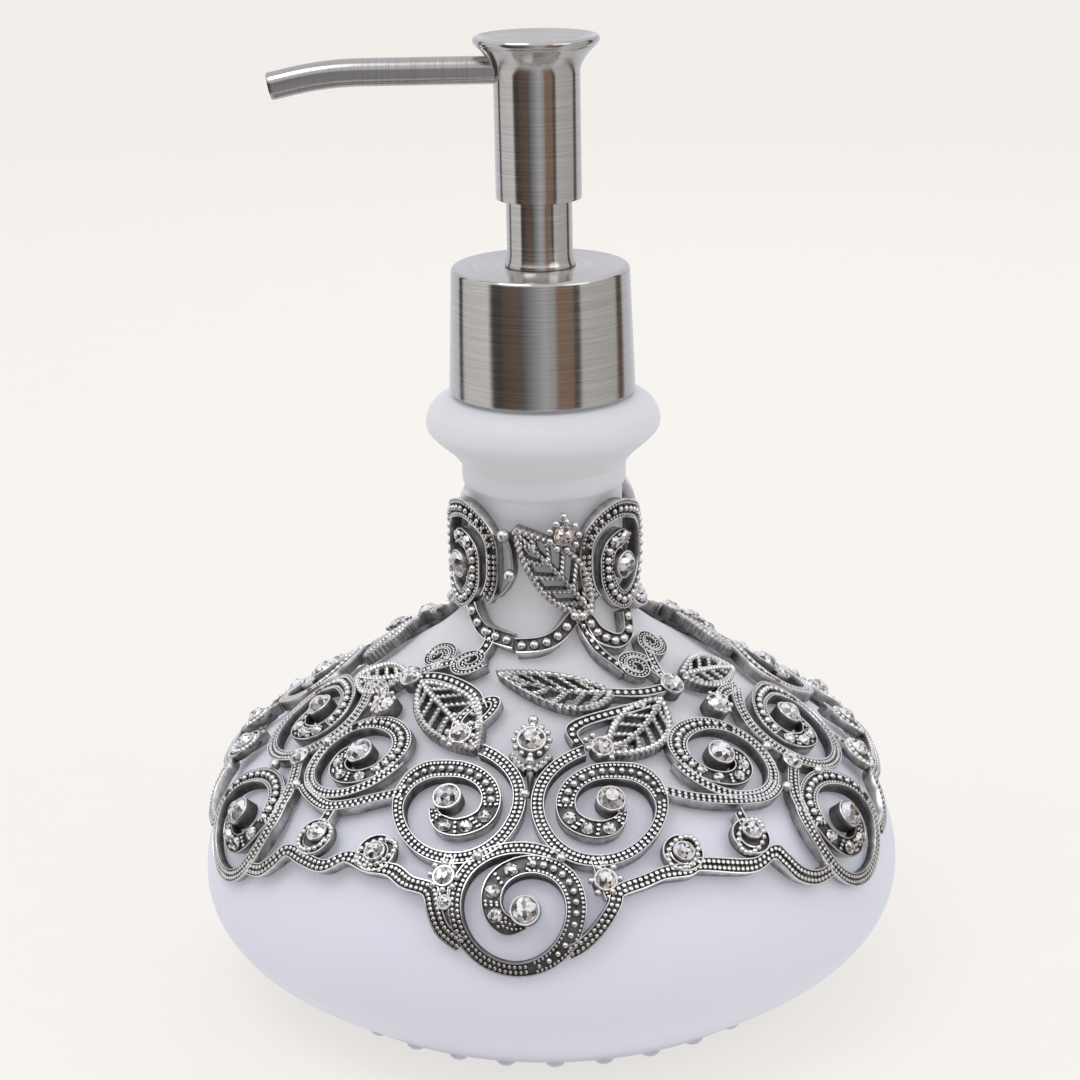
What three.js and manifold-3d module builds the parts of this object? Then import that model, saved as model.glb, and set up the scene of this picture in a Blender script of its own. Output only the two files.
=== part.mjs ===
// Soap pump dispenser: a squat frosted-glass bottle dressed in cast filigree with crystals,
// closed by a brushed-steel lotion pump. Millimetres, +Z up, origin on the rest plane under
// the bottle's axis. Azimuth is measured from the front (-Y) towards +X.
import * as THREE from 'three';
import { mergeVertices } from 'three/addons/utils/BufferGeometryUtils.js';
import Module from 'manifold-3d';

const wasm = await Module();
wasm.setup();

// ---- Driving dimensions -------------------------------------------------------------
const HEIGHT = 184; // rest plane to the rim of the press head
const BELLY_R = 69.2; // widest radius of the glass
const BELLY_Z = 22;
const NECK_R = 15; // outside of the glass neck
const LIP_Z = 134.5; // top of the glass finish
const FINISH_R = 12.55; // 28 mm finish: wall outside radius
const THREAD_CREST_R = 13.75; // 28 mm finish: thread outside radius
const BORE_R = 9.3; // through the glass mouth
const THREAD_PITCH = 4.23;
const THREAD_TURNS = 1.25;
const COLLAR_BOTTOM_Z = 117.4;
const COLLAR_TOP_Z = 141.35;
const COLLAR_TOP_R = 16.9;
const COLLAR_BOTTOM_R = 17.75;
const SHEET = 0.6; // wall of the pressed steel parts
const HEAD_BOTTOM_Z = 154;
const HEAD_R = 8.05;
const RIM_R = 11.73;
const SLEEVE_R = 6.2;
const SPOUT_R = 2.575;
const SPOUT_Z = 177.8;
const SPOUT_REACH = 49.3;
const BARREL_BORE_R = 6.5;
const STEM_R = 3.4;
const NUB_COUNT = 34;
const NUB_RING_R = 49.4;
const NUB_DROP = 1.6; // how far the nubs hold the base off the table
const FIT_GAP = 0.3; // clearance between neighbouring pieces
const GLASS_SEGMENTS = 40;
const PUMP_SEGMENTS = 24;
const SMALL_SEGMENTS = 16;

// ---- Geometry helpers -----------------------------------------------------------------
const DEG = Math.PI / 180;

function vec2(pairs) {
  return pairs.map(([x, y]) => new THREE.Vector2(x, y));
}

function signedVolume(position, index) {
  const a = new THREE.Vector3();
  const b = new THREE.Vector3();
  const c = new THREE.Vector3();
  let volume = 0;
  for (let i = 0; i < index.length; i += 3) {
    a.fromBufferAttribute(position, index[i]);
    b.fromBufferAttribute(position, index[i + 1]);
    c.fromBufferAttribute(position, index[i + 2]);
    volume += a.dot(b.cross(c)) / 6;
  }
  return volume;
}

// Merges shared vertices, drops collapsed triangles and turns the faces outwards.
function closed(geometry) {
  const bare = geometry.clone();
  bare.deleteAttribute('normal');
  bare.deleteAttribute('uv');
  const merged = mergeVertices(bare, 1e-4);
  const source = merged.index.array;
  const kept = [];
  for (let i = 0; i < source.length; i += 3) {
    const [a, b, c] = [source[i], source[i + 1], source[i + 2]];
    if (a !== b && b !== c && c !== a) kept.push(a, b, c);
  }
  if (signedVolume(merged.attributes.position, kept) < 0) kept.reverse();
  merged.setIndex(kept);
  return merged;
}

function toSolid(geometry) {
  const shell = closed(geometry);
  return new wasm.Manifold(new wasm.Mesh({
    numProp: 3,
    vertProperties: new Float32Array(shell.attributes.position.array),
    triVerts: new Uint32Array(shell.index.array),
  }));
}

function toGeometry(solid) {
  const mesh = solid.getMesh();
  const geometry = new THREE.BufferGeometry();
  geometry.setAttribute('position', new THREE.BufferAttribute(new Float32Array(mesh.vertProperties), 3));
  geometry.setIndex(new THREE.BufferAttribute(new Uint32Array(mesh.triVerts), 1));
  return geometry;
}

function joined(geometries) {
  return toGeometry(geometries.map(toSolid).reduce((sum, solid) => sum.add(solid)));
}

function cut(geometry, tools) {
  return toGeometry(tools.map(toSolid).reduce((rest, tool) => rest.subtract(tool), toSolid(geometry)));
}

// A turned part: profile points are [radius, height]; azimuth 0 of the mesh is the front.
function turned(pairs, segments = PUMP_SEGMENTS) {
  const geometry = new THREE.LatheGeometry(vec2(pairs), segments);
  geometry.rotateX(Math.PI / 2);
  return closed(geometry);
}

function turnedRing(pairs, segments) {
  return turned([...pairs, pairs[0]], segments);
}

function bar(radius, length, segments = SMALL_SEGMENTS) {
  return new THREE.CylinderGeometry(radius, radius, length, segments);
}

function arc(centreR, centreZ, radius, fromDeg, toDeg, steps) {
  return Array.from({ length: steps + 1 }, (_, i) => {
    const angle = (fromDeg + ((toDeg - fromDeg) * i) / steps) * DEG;
    return [centreR + radius * Math.cos(angle), centreZ + radius * Math.sin(angle)];
  });
}

// A screw thread ridge: a straight trapezoid bar rolled up into a right-hand helix.
function threadRidge(rootR, crestR, startZ) {
  const rootHalf = 1.2;
  const crestHalf = 0.5;
  const steps = Math.round(24 * THREAD_TURNS);
  const section = new THREE.Shape(vec2([
    [rootR, -rootHalf], [crestR, -crestHalf], [crestR, crestHalf], [rootR, rootHalf],
  ]));
  const geometry = new THREE.ExtrudeGeometry(section, { depth: THREAD_TURNS, steps, bevelEnabled: false });
  const position = geometry.attributes.position;
  for (let i = 0; i < position.count; i += 1) {
    const turns = position.getZ(i);
    const radius = position.getX(i);
    const height = position.getY(i) + startZ + turns * THREAD_PITCH;
    const angle = turns * 2 * Math.PI;
    position.setXYZ(i, radius * Math.cos(angle), radius * Math.sin(angle), height);
  }
  return geometry;
}

const parts = new THREE.Group();
parts.name = 'soap_pump_dispenser';

function addPart(parent, name, geometry, colour, roughness, metalness) {
  const material = new THREE.MeshStandardMaterial({ color: colour, roughness, metalness });
  if (geometry.index) geometry.computeVertexNormals();
  const mesh = new THREE.Mesh(geometry, material);
  mesh.name = name;
  parent.add(mesh);
  return mesh;
}

const addSteel = (parent, name, geometry) => addPart(parent, name, geometry, 0x9c9894, 0.32, 1);
const addPewter = (parent, name, geometry) => addPart(parent, name, geometry, 0x6f6d6b, 0.45, 1);
const addPlastic = (parent, name, geometry) => addPart(parent, name, geometry, 0xe8e8e4, 0.5, 0);
const addCrystal = (parent, name, geometry) => addPart(parent, name, geometry, 0xf4f1ee, 0.05, 0);

// ---- Glass bottle ---------------------------------------------------------------------
// The outside as one smooth curve from the base edge over the belly to the neck.
const glassBody = new THREE.SplineCurve(vec2([
  [51.6, NUB_DROP], [55.2, 4.4], [60.4, 8], [65.6, 12.4], [68.4, 17], [BELLY_R, BELLY_Z],
  [68.4, 28], [65.8, 34.3], [60.9, 41.4], [55.8, 45.5], [44.2, 53.1], [32.4, 60.8],
  [23.4, 66.8], [17.6, 72], [15.3, 78], [NECK_R, 85],
]));
const BULGE_FOOT_Z = 103.4;
const BULGE_FOOT_R = 15.8;

function glassOutside() {
  const bulge = new THREE.SplineCurve(vec2([
    [BULGE_FOOT_R, BULGE_FOOT_Z], [17.8, 105.9], [20.4, 108.2], [22.2, 110.2], [22.4, 112.2], [21.2, 114.7],
    [18.4, 116.5], [14.2, 116.9],
  ]));
  return [
    ...glassBody.getPoints(19).map((p) => [p.x, p.y]),
    [NECK_R, BULGE_FOOT_Z - 4.5],
    [BULGE_FOOT_R, BULGE_FOOT_Z - 3.2],
    ...bulge.getPoints(7).map((p) => [p.x, p.y]),
    [FINISH_R, 118],
    [FINISH_R, LIP_Z - 0.6],
    [FINISH_R - 0.6, LIP_Z],
    [BORE_R + 0.5, LIP_Z],
    [BORE_R, LIP_Z - 0.5],
  ];
}

function glassInside() {
  const wall = new THREE.SplineCurve(vec2([
    [BORE_R, 119], [11.3, 110], [11.2, 86], [12.8, 75], [21.4, 65], [42.6, 50.8],
    [57.5, 40.8], [65, 29], [65.6, 19.5], [58.5, 10.5], [47, 6.6], [30, 6],
  ]));
  return wall.getPoints(11).map((p) => [p.x, p.y]);
}

function nub(azimuth) {
  const geometry = new THREE.CylinderGeometry(1.9, 1.15, NUB_DROP + 1.2, 6);
  geometry.rotateX(Math.PI / 2);
  geometry.translate(NUB_RING_R * Math.sin(azimuth), -NUB_RING_R * Math.cos(azimuth), (NUB_DROP + 1.2) / 2);
  return geometry;
}

function glassBottle() {
  const blank = turned([[0, NUB_DROP + 0.9], [46, NUB_DROP], ...glassOutside(), ...glassInside(), [0, 6.6]],
    GLASS_SEGMENTS);
  const nubs = Array.from({ length: NUB_COUNT }, (_, i) => nub((i * 2 * Math.PI) / NUB_COUNT));
  const thread = threadRidge(FINISH_R - 0.3, THREAD_CREST_R, 124.6);
  return joined([blank, thread, ...nubs]);
}

const bottle = new THREE.Group();
parts.add(bottle);
addPart(bottle, 'glass_bottle', glassBottle(), 0xdcdfe8, 0.55, 0);

// ---- Cast filigree ----------------------------------------------------------------------
// The castings' faces lie on this curve. Its length is measured down from the neck's top.
const castingFace = new THREE.SplineCurve(vec2([
  [18.6, 100], [18.6, 88], [18.6, 78], [20.8, 72.2], [26.5, 68.6], [34.6, 63.4], [46, 55.8],
  [57.7, 48], [63.2, 44], [66.4, 40], [68.4, 35], [70, 28],
]));
const FACE_LENGTH = castingFace.getLength();
const CAST_DEPTH = 2.3;
const EDGE_DEPTH = 1.45; // where the castings thin out over the belly
const THINNING_FROM = 82;
const THINNING_TO = 93;
const ROW_ARC = 70; // arc length that the scroll trios are laid out from

function castDepth(arcLength) {
  const t = THREE.MathUtils.smoothstep(arcLength, THINNING_FROM, THINNING_TO);
  return THREE.MathUtils.lerp(CAST_DEPTH, EDGE_DEPTH, t);
}

// Bends a flat casting onto the bottle. Flat x runs to the right in mm of arc at that height,
// flat y runs up the shoulder, and flat z is 0 on the casting's back and 1 on its face.
function wrapped(geometry, azimuthDeg, arcLength) {
  const position = geometry.attributes.position;
  for (let i = 0; i < position.count; i += 1) {
    const along = THREE.MathUtils.clamp(arcLength - position.getY(i), 0.01, FACE_LENGTH - 0.01);
    const face = castingFace.getPointAt(along / FACE_LENGTH);
    const tangent = castingFace.getTangentAt(along / FACE_LENGTH);
    const drop = castDepth(along) * (position.getZ(i) - 1);
    const radius = face.x - tangent.y * drop;
    const angle = azimuthDeg * DEG + position.getX(i) / face.x;
    position.setXYZ(i, radius * Math.sin(angle), -radius * Math.cos(angle), face.y + tangent.x * drop);
  }
  return geometry;
}

function plate(outline, from = 0, to = 1) {
  const geometry = new THREE.ExtrudeGeometry(new THREE.Shape(outline), {
    depth: to - from, steps: 1, bevelEnabled: false,
  });
  return geometry.translate(0, 0, from);
}

// A band of changing width along a centreline; growth widens it on every side.
function band(centreline, widthAt, growth = 0) {
  const left = [];
  const right = [];
  const last = centreline.length - 1;
  centreline.forEach((point, i) => {
    const ahead = centreline[Math.min(i + 1, last)];
    const behind = centreline[Math.max(i - 1, 0)];
    const along = new THREE.Vector2().subVectors(ahead, behind).normalize();
    const side = new THREE.Vector2(-along.y, along.x).multiplyScalar(widthAt(i / last) / 2 + growth);
    const end = i === 0 ? -growth : i === last ? growth : 0;
    const centre = point.clone().addScaledVector(along, end);
    left.push(centre.clone().add(side));
    right.push(centre.clone().sub(side));
  });
  return growth > 0 ? plate([...left, ...right.reverse()], -1, 2) : plate([...left, ...right.reverse()]);
}

function disc(x, y, radius, sides = 10, growth = 0) {
  const outline = arc(x, y, radius + growth, 0, 360 - 360 / sides, sides - 1);
  return growth > 0 ? plate(vec2(outline), -1, 2) : plate(vec2(outline));
}

// Scroll centrelines as [angle, radius] about the scroll's centre, wound inwards.
const UPPER_SCROLL = [
  [107, 12.6], [150, 12.4], [205, 11], [260, 11.2], [310, 12], [345, 12], [370, 10.7], [400, 8.8],
  [435, 7.3], [500, 7.2], [550, 6.2], [600, 5], [660, 5.1], [700, 4.6],
];
const LOWER_SCROLL = [
  [56, 10.7], [150, 10.6], [240, 10.9], [300, 10.8], [345, 10.2], [390, 9.3], [431, 7.9], [475, 6.1],
  [520, 4.7], [570, 4], [616, 3.7], [650, 3.5],
];
const SCROLL_STEPS = 18;
const THIN_BAND = 2.1;
const BEADED_ARM = 3.7;

function scrollWidth(t) {
  return THREE.MathUtils.lerp(THIN_BAND, BEADED_ARM, THREE.MathUtils.smoothstep(t, 0.38, 0.5));
}

function scrollLine(keys, { x, y, turn = 0, size = 1, mirror = false, steps = SCROLL_STEPS }) {
  const handed = mirror ? -1 : 1;
  return new THREE.SplineCurve(vec2(keys)).getSpacedPoints(steps).map((key) => {
    const angle = (key.x + turn) * DEG;
    const radius = key.y * size;
    return new THREE.Vector2(x + handed * radius * Math.cos(angle), y + radius * Math.sin(angle));
  });
}

function scroll(place, growth = 0) {
  const keys = place.lower ? LOWER_SCROLL : UPPER_SCROLL;
  return band(scrollLine(keys, place), scrollWidth, growth);
}

// The big crystal sits inside the scroll's eye.
function scrollEye({ x, y, turn = 0, size = 1, mirror = false, lower = false }) {
  const [angle, radius] = lower ? [-30, 1.6] : [25, 1.9];
  const a = (angle + turn) * DEG;
  return [x + (mirror ? -1 : 1) * radius * size * Math.cos(a), y + radius * size * Math.sin(a)];
}

const EYE_CUP_R = 2.75;
const FRONT_TRIO = [
  { x: -12.6, y: 6.1, mirror: true },
  { x: 14.1, y: 6.1 },
  { x: 0.1, y: -13.3, size: 1.05, lower: true },
];
const RIGHT_TRIO = [
  { x: -13.4, y: 9.8, turn: 110, size: 0.86, lower: true },
  { x: 11.4, y: 8.4 },
  { x: -1.2, y: -12.8, turn: 80, size: 1.02, lower: true },
];
const LEFT_TRIO = RIGHT_TRIO.map((place) => ({ ...place, x: -place.x, mirror: !place.mirror }));
LEFT_TRIO[1] = { x: -8.8, y: 11.6, mirror: true };
// Solder beads that hold the three scrolls of a trio together.
const FRONT_BEADS = [[0, 9], [7.2, -4.2], [-7.6, -4.2]];
const RIGHT_BEADS = [[-2.2, 8], [-7.6, -0.6], [3.4, -1.8]];
const BEAD_R = 2.6;
const LEFT_BEADS = [[3.4, 9.5], [7.6, -0.6], [-3.6, -0.8]];
// The back trio is a touch smaller, to close the ring.
const BACK_TRIO = FRONT_TRIO.map((place) => ({ ...place, size: 0.96 }));
// Links: a strap from a side trio's near scroll towards the front or back trio beside it.
const RIGHT_LINK = [[-19.7, 1.4], [-13.4, -0.2]];
const LEFT_LINK = [[19.2, 0], [13.4, -0.2]];

const TRIOS = [
  { azimuth: -5.5, scrolls: FRONT_TRIO, beads: FRONT_BEADS },
  { azimuth: 59.5, scrolls: RIGHT_TRIO, beads: RIGHT_BEADS, links: [[-28.3, 6.2], ...RIGHT_LINK] },
  { azimuth: 118, scrolls: LEFT_TRIO, beads: LEFT_BEADS, links: [[23.4, 2.4], ...LEFT_LINK] },
  { azimuth: 177, scrolls: BACK_TRIO, beads: FRONT_BEADS },
  { azimuth: 235.5, scrolls: RIGHT_TRIO, beads: RIGHT_BEADS, links: [[-23.2, 2.9], ...RIGHT_LINK] },
  { azimuth: 294, scrolls: LEFT_TRIO, beads: LEFT_BEADS, links: [[24.8, 3.2], ...LEFT_LINK] },
];

function linkStrap(points, growth) {
  const curve = new THREE.SplineCurve(points.map(([x, y]) => new THREE.Vector2(x, y)));
  return band(curve.getSpacedPoints(6), () => THIN_BAND, growth);
}

function trioPieces({ scrolls, beads, links }, growth = 0) {
  const eyes = scrolls.map((place) => disc(...scrollEye(place), EYE_CUP_R, 8, growth));
  const solder = beads.map(([x, y]) => disc(x, y, BEAD_R, 8, growth));
  const straps = links ? [linkStrap(links, growth)] : [];
  return [...scrolls.map((place) => scroll(place, growth)), ...eyes, ...solder, ...straps];
}

function trioCasting(trio) {
  return wrapped(joined(trioPieces(trio)), trio.azimuth, ROW_ARC);
}

// Keeps a casting's neighbours clear: the same trio, grown by the fit gap and bent into place.
function trioClearance(trio) {
  return toGeometry(toSolid(wrapped(joined(trioPieces(trio, FIT_GAP)), trio.azimuth, ROW_ARC)));
}

// A crystal with a pointed back, a wide girdle and a flat table.
function crystal(radius) {
  const geometry = turned([[0, 0], [radius * 0.55, 0], [radius, 0.75], [radius * 0.6, 1.5], [0, 1.5]], 6);
  return geometry;
}

function placeOnFace(mesh, azimuthDeg, x, y, arcLength) {
  const along = arcLength - y;
  const face = castingFace.getPointAt(along / FACE_LENGTH);
  const tangent = castingFace.getTangentAt(along / FACE_LENGTH);
  const angle = azimuthDeg * DEG + x / face.x;
  const outward = new THREE.Vector3(-tangent.y * Math.sin(angle), tangent.y * Math.cos(angle), tangent.x);
  const lift = FIT_GAP;
  mesh.position.set(face.x * Math.sin(angle), -face.x * Math.cos(angle), face.y);
  mesh.position.addScaledVector(outward, lift);
  mesh.quaternion.setFromUnitVectors(new THREE.Vector3(0, 0, 1), outward);
}

const filigree = new THREE.Group();
bottle.add(filigree);
const CRYSTAL_R = 2.3;
let crystalNumber = 0;
TRIOS.forEach((trio, i) => {
  addPewter(filigree, `scroll_trio_${i + 1}`, trioCasting(trio));
  trio.scrolls.forEach((place) => {
    crystalNumber += 1;
    const name = `scroll_crystal_${String(crystalNumber).padStart(2, '0')}`;
    const stone = addCrystal(filigree, name, crystal(CRYSTAL_R));
    placeOnFace(stone, trio.azimuth, ...scrollEye(place), ROW_ARC);
  });
});

// Swags: a scalloped band with two crystal discs, from one trio's bottom scroll to the next.
// Points are [azimuth from the trio's axis, arc length], from left to right.
const SWAG_DISC_R = 3.7;
const FRONT_EDGE = {
  left: [[-30.4, 79], [-25.6, 79], [-21.4, 79.2], [-18.1, 81], [-14.1, 81.8], [-12.8, 85], [-11.6, 88]],
  leftDisc: [-25.6, 76.8],
  right: [[11.6, 88.8], [13, 87], [15, 83.9], [16.2, 81.4], [20.7, 80.1], [24.2, 78.8], [31, 78.2]],
  rightDisc: [28.4, 76],
};
const SIDE_EDGE = {
  left: [[-25.4, 81.7], [-20.4, 80.7], [-18.9, 82.9], [-16.9, 86.3], [-13.5, 88.3]],
  leftDisc: [-22.9, 77.4],
  right: [[12.6, 88], [15.3, 85.2], [17.6, 82], [22, 82.2], [26.4, 82]],
  rightDisc: [21.5, 77.8],
};

function faceX(azimuth, arcLength) {
  return azimuth * DEG * castingFace.getPointAt(arcLength / FACE_LENGTH).x;
}

// Flat outline points for a casting laid out about azimuth 0 and ROW_ARC.
function flat([azimuth, arcLength]) {
  return new THREE.Vector2(faceX(azimuth, arcLength), ROW_ARC - arcLength);
}

function swagEdge(trio) {
  return trio.links ? SIDE_EDGE : FRONT_EDGE;
}

function swag(left, right) {
  const span = (((right.azimuth - left.azimuth) % 360) + 360) % 360;
  const from = swagEdge(left);
  const to = swagEdge(right);
  const onward = ([azimuth, along]) => [azimuth + span, along];
  const curve = new THREE.SplineCurve([...from.right, ...to.left.map(onward)].map(flat));
  const discs = [from.rightDisc, onward(to.leftDisc)].map((place) => {
    const centre = flat(place);
    return disc(centre.x, centre.y, SWAG_DISC_R, 12);
  });
  const flatCasting = joined([band(curve.getSpacedPoints(22), () => 2.2), ...discs]);
  const casting = wrapped(flatCasting, left.azimuth, ROW_ARC);
  return cut(casting, [trioClearance(left), trioClearance(right)]);
}

TRIOS.forEach((trio, i) => {
  addPewter(filigree, `lower_swag_${i + 1}`, swag(trio, TRIOS[(i + 1) % TRIOS.length]));
});

// Leaf sprays: pierced leaves around a crystal, above the trios, with two curled tendrils.
const SPRAY_ARC = 42;
const SPRAY_R = 3.4;
const CURL_R = 3;
const LONG_SPRAY = {
  leaves: [
    { x: -3.2, y: 0.6, length: 27, width: 8.4, heading: 168 },
    { x: -3.4, y: -1.4, length: 16.5, width: 7.6, heading: 205 },
    { x: 3.2, y: 0.4, length: 18, width: 7, heading: 341 },
  ],
  curls: [[-3.3, 6.6], [4.8, 10.2]],
};
const SHORT_SPRAY = {
  leaves: [
    { x: -2.6, y: 0.8, length: 15, width: 7, heading: 206 },
    { x: 3, y: 1.2, length: 24, width: 8.8, heading: 334 },
  ],
  curls: [[8.4, 8.8], [0.9, 7.6]],
};
const SPRAYS = [
  { azimuth: -57, ...SHORT_SPRAY }, { azimuth: 46, ...LONG_SPRAY },
  { azimuth: 125.5, ...SHORT_SPRAY }, { azimuth: 228.5, ...LONG_SPRAY },
];

function leafOutline(length, width, steps) {
  const upper = [];
  const lower = [];
  for (let i = 1; i < steps; i += 1) {
    const t = i / steps;
    const half = (width / 2) * Math.sin(Math.PI * t ** 0.85);
    upper.push(new THREE.Vector2(length * t, half));
    lower.push(new THREE.Vector2(length * t, -half));
  }
  return [new THREE.Vector2(0, 0), ...lower, new THREE.Vector2(length, 0), ...upper.reverse()];
}

function leaf({ x, y, length, width, heading }) {
  const shape = new THREE.Shape(leafOutline(length, width, 6));
  for (const [at, size] of [[0.36, 0.26], [0.66, 0.24]]) {
    const hole = leafOutline(length * size, width * 0.36, 2);
    shape.holes.push(new THREE.Path(hole.map((p) => new THREE.Vector2(p.x + length * (at - size / 2), p.y))));
  }
  const geometry = new THREE.ExtrudeGeometry(shape, { depth: 1, steps: 1, bevelEnabled: false });
  geometry.rotateZ(heading * DEG);
  return geometry.translate(x, y, 0);
}

function tendril([x, y]) {
  const stem = [new THREE.Vector2(0, 0), new THREE.Vector2(x, y)];
  return [band(stem, () => THIN_BAND), disc(x, y, CURL_R, 10)];
}

function spray({ azimuth, leaves, curls }) {
  const pieces = [disc(0, 0, SPRAY_R, 10), ...leaves.map(leaf), ...curls.flatMap(tendril)];
  return cut(wrapped(joined(pieces), azimuth, SPRAY_ARC), TRIOS.map(trioClearance));
}

SPRAYS.forEach((place, i) => addPewter(filigree, `leaf_spray_${i + 1}`, spray(place)));

// Neck band: four scrolls around the neck, alternately mirrored, joined by hanging loops. A leaf
// and a crown crystal fill the wide gap at the front.
const NECK_SECTORS = [-63, 54, 135, 216];
const NECK_SCROLL_ARC = 13;
const NECK_SCROLL = [
  [0, 11], [45, 10.3], [76, 11.2], [94, 11.1], [122, 10.6], [151, 9.8], [183, 10.1], [225, 9.9], [270, 9.7],
  [300, 9.6], [317, 9.4], [336, 8], [357, 6.6], [388, 5.2], [433, 5], [489, 4.2], [530, 3.8],
];
const NECK_SCROLL_TURN = -45;
const NECK_SCROLL_SIZE = 0.93;
const NECK_EYE = [-0.4, -1.5];
const NECK_STEPS = 16;
const LOOP_ARC = 25; // how far down the loops hang
const LOOP_BACK = 0.5; // share of the casting's depth that the loops leave free behind them
const LOOP_FROM_ARC = 21;
const CROWN = [3.2, 7.6];
const CROWN_R = 2.9;

function neckEye(i) {
  return [i % 2 === 1 ? NECK_EYE[0] : -NECK_EYE[0], NECK_EYE[1]];
}

function neckScroll(azimuth, i) {
  const place = { x: 0, y: 0, size: NECK_SCROLL_SIZE, turn: NECK_SCROLL_TURN, mirror: i % 2 === 1 };
  const line = scrollLine(NECK_SCROLL, { ...place, steps: NECK_STEPS });
  const eye = disc(...neckEye(i), EYE_CUP_R, 8);
  return wrapped(joined([band(line, scrollWidth), eye]), azimuth, NECK_SCROLL_ARC);
}

// A loop hangs from the foot of one scroll to the foot of the next.
function neckLoop(azimuth, i) {
  const next = NECK_SECTORS[(i + 1) % NECK_SECTORS.length];
  const span = (((next - azimuth) % 360) + 360) % 360;
  const width = faceX(span, LOOP_FROM_ARC);
  const line = [[3.4, LOOP_FROM_ARC], [6.6, LOOP_ARC - 1.4], [11, LOOP_ARC], [width / 2, LOOP_ARC],
    [width - 11, LOOP_ARC], [width - 6.6, LOOP_ARC - 1.4], [width - 3.4, LOOP_FROM_ARC]];
  const inOrder = line.filter(([x], k) => k === 0 || x > line[k - 1][0]);
  const points = inOrder.map(([x, along]) => new THREE.Vector2(x, NECK_SCROLL_ARC - along));
  const curve = new THREE.SplineCurve(points);
  const strap = band(curve.getSpacedPoints(12), () => THIN_BAND);
  strap.scale(1, 1, 1 - LOOP_BACK).translate(0, 0, LOOP_BACK);
  return wrapped(strap, azimuth, NECK_SCROLL_ARC);
}

function neckFiligree() {
  const blade = leaf({ x: 8.4, y: -8.2, length: 20, width: 9, heading: 133 });
  const crown = disc(CROWN[0], NECK_SCROLL_ARC - CROWN[1], CROWN_R, 10);
  const front = wrapped(joined([blade, crown]), 0, NECK_SCROLL_ARC);
  return joined([front, ...NECK_SECTORS.map(neckScroll), ...NECK_SECTORS.map(neckLoop)]);
}

addPewter(filigree, 'neck_filigree', neckFiligree());
NECK_SECTORS.forEach((azimuth, i) => {
  const stone = addCrystal(filigree, `neck_crystal_${i + 1}`, crystal(CRYSTAL_R));
  placeOnFace(stone, azimuth, ...neckEye(i), NECK_SCROLL_ARC);
});

// ---- Pump engine: hangs in the bottle's mouth under the collar ----------------------------
const GASKET_Z = LIP_Z + 0.15;
const FLANGE_Z = LIP_Z + 1.2;
const FLANGE_TOP = FLANGE_Z + 1.3;
const FLANGE_R = 12.2;
const BARREL_R = 7.6;
const BARREL_FLOOR_Z = 106;
const SOCKET_TOP_Z = 99.5;
const SOCKET_BOTTOM_Z = 91;
const TUBE_R = 3.05;
const TUBE_BORE_R = 2.2;
const TUBE_BOTTOM_Z = 9.5;
const BALL_R = 2.75;
const BALL_Z = 103.6;

function pumpCylinder() {
  return turnedRing([
    [BARREL_BORE_R, FLANGE_TOP], [FLANGE_R, FLANGE_TOP], [FLANGE_R, FLANGE_Z], [BARREL_R + 0.9, FLANGE_Z],
    [BARREL_R + 0.9, FLANGE_Z - 4], [BARREL_R, FLANGE_Z - 4.8], [BARREL_R, BARREL_FLOOR_Z - 1.2],
    [4.4, SOCKET_TOP_Z], [4.2, SOCKET_BOTTOM_Z], [TUBE_R + 0.12, SOCKET_BOTTOM_Z],
    [TUBE_R + 0.12, SOCKET_TOP_Z], [1.9, SOCKET_TOP_Z], [1.9, 101.2], [3.4, 103.6],
    [3.4, BARREL_FLOOR_Z], [BARREL_BORE_R, BARREL_FLOOR_Z],
  ]);
}

const SEAT_TOP_Z = BARREL_FLOOR_Z + 1.6;

function springSeat() {
  const low = BARREL_FLOOR_Z + 0.15;
  return turnedRing([[2.2, low], [6.25, low], [6.25, SEAT_TOP_Z - 0.6], [4.2, SEAT_TOP_Z - 0.6],
    [4.2, SEAT_TOP_Z], [2.2, SEAT_TOP_Z]], SMALL_SEGMENTS);
}

const SPRING_LOW_Z = SEAT_TOP_Z - 0.3;
const SPRING_HIGH_Z = 125.6;
const WIRE_R = 0.45;
const COIL_R = 5.3;
const COILS = 6;
const COIL_STEPS = 8;

// The spring is closed at both ends, so its first and last turns lie almost flat.
function mainSpring() {
  const from = SPRING_LOW_Z + WIRE_R;
  const to = SPRING_HIGH_Z - WIRE_R;
  const points = Array.from({ length: COILS * COIL_STEPS + 1 }, (_, i) => {
    const t = i / (COILS * COIL_STEPS);
    const rise = THREE.MathUtils.smoothstep(t, 0.06, 0.94) * 0.35 + THREE.MathUtils.clamp(t, 0, 1) * 0.65;
    const angle = t * COILS * 2 * Math.PI;
    return new THREE.Vector3(COIL_R * Math.cos(angle), COIL_R * Math.sin(angle), from + (to - from) * rise);
  });
  const wire = new THREE.Shape(vec2(arc(0, 0, WIRE_R, 0, 288, 4)));
  return closed(new THREE.ExtrudeGeometry(wire, {
    steps: COILS * COIL_STEPS, bevelEnabled: false, extrudePath: new THREE.CatmullRomCurve3(points),
  }));
}

const NUT_TOP_Z = 145.6;
const NUT_BORE_R = STEM_R + 0.3;
const SEAL_TOP_Z = 132;

function guideNut() {
  return turnedRing([
    [NUT_BORE_R, SEAL_TOP_Z + 0.4], [BARREL_BORE_R - 0.25, SEAL_TOP_Z + 0.4],
    [BARREL_BORE_R - 0.25, FLANGE_TOP + 0.15], [9.6, FLANGE_TOP + 0.15], [9.6, FLANGE_TOP + 2.4],
    [5.35, FLANGE_TOP + 2.6], [5.35, NUT_TOP_Z - 0.4], [4.95, NUT_TOP_Z], [NUT_BORE_R, NUT_TOP_Z],
  ], SMALL_SEGMENTS + 4);
}

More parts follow.
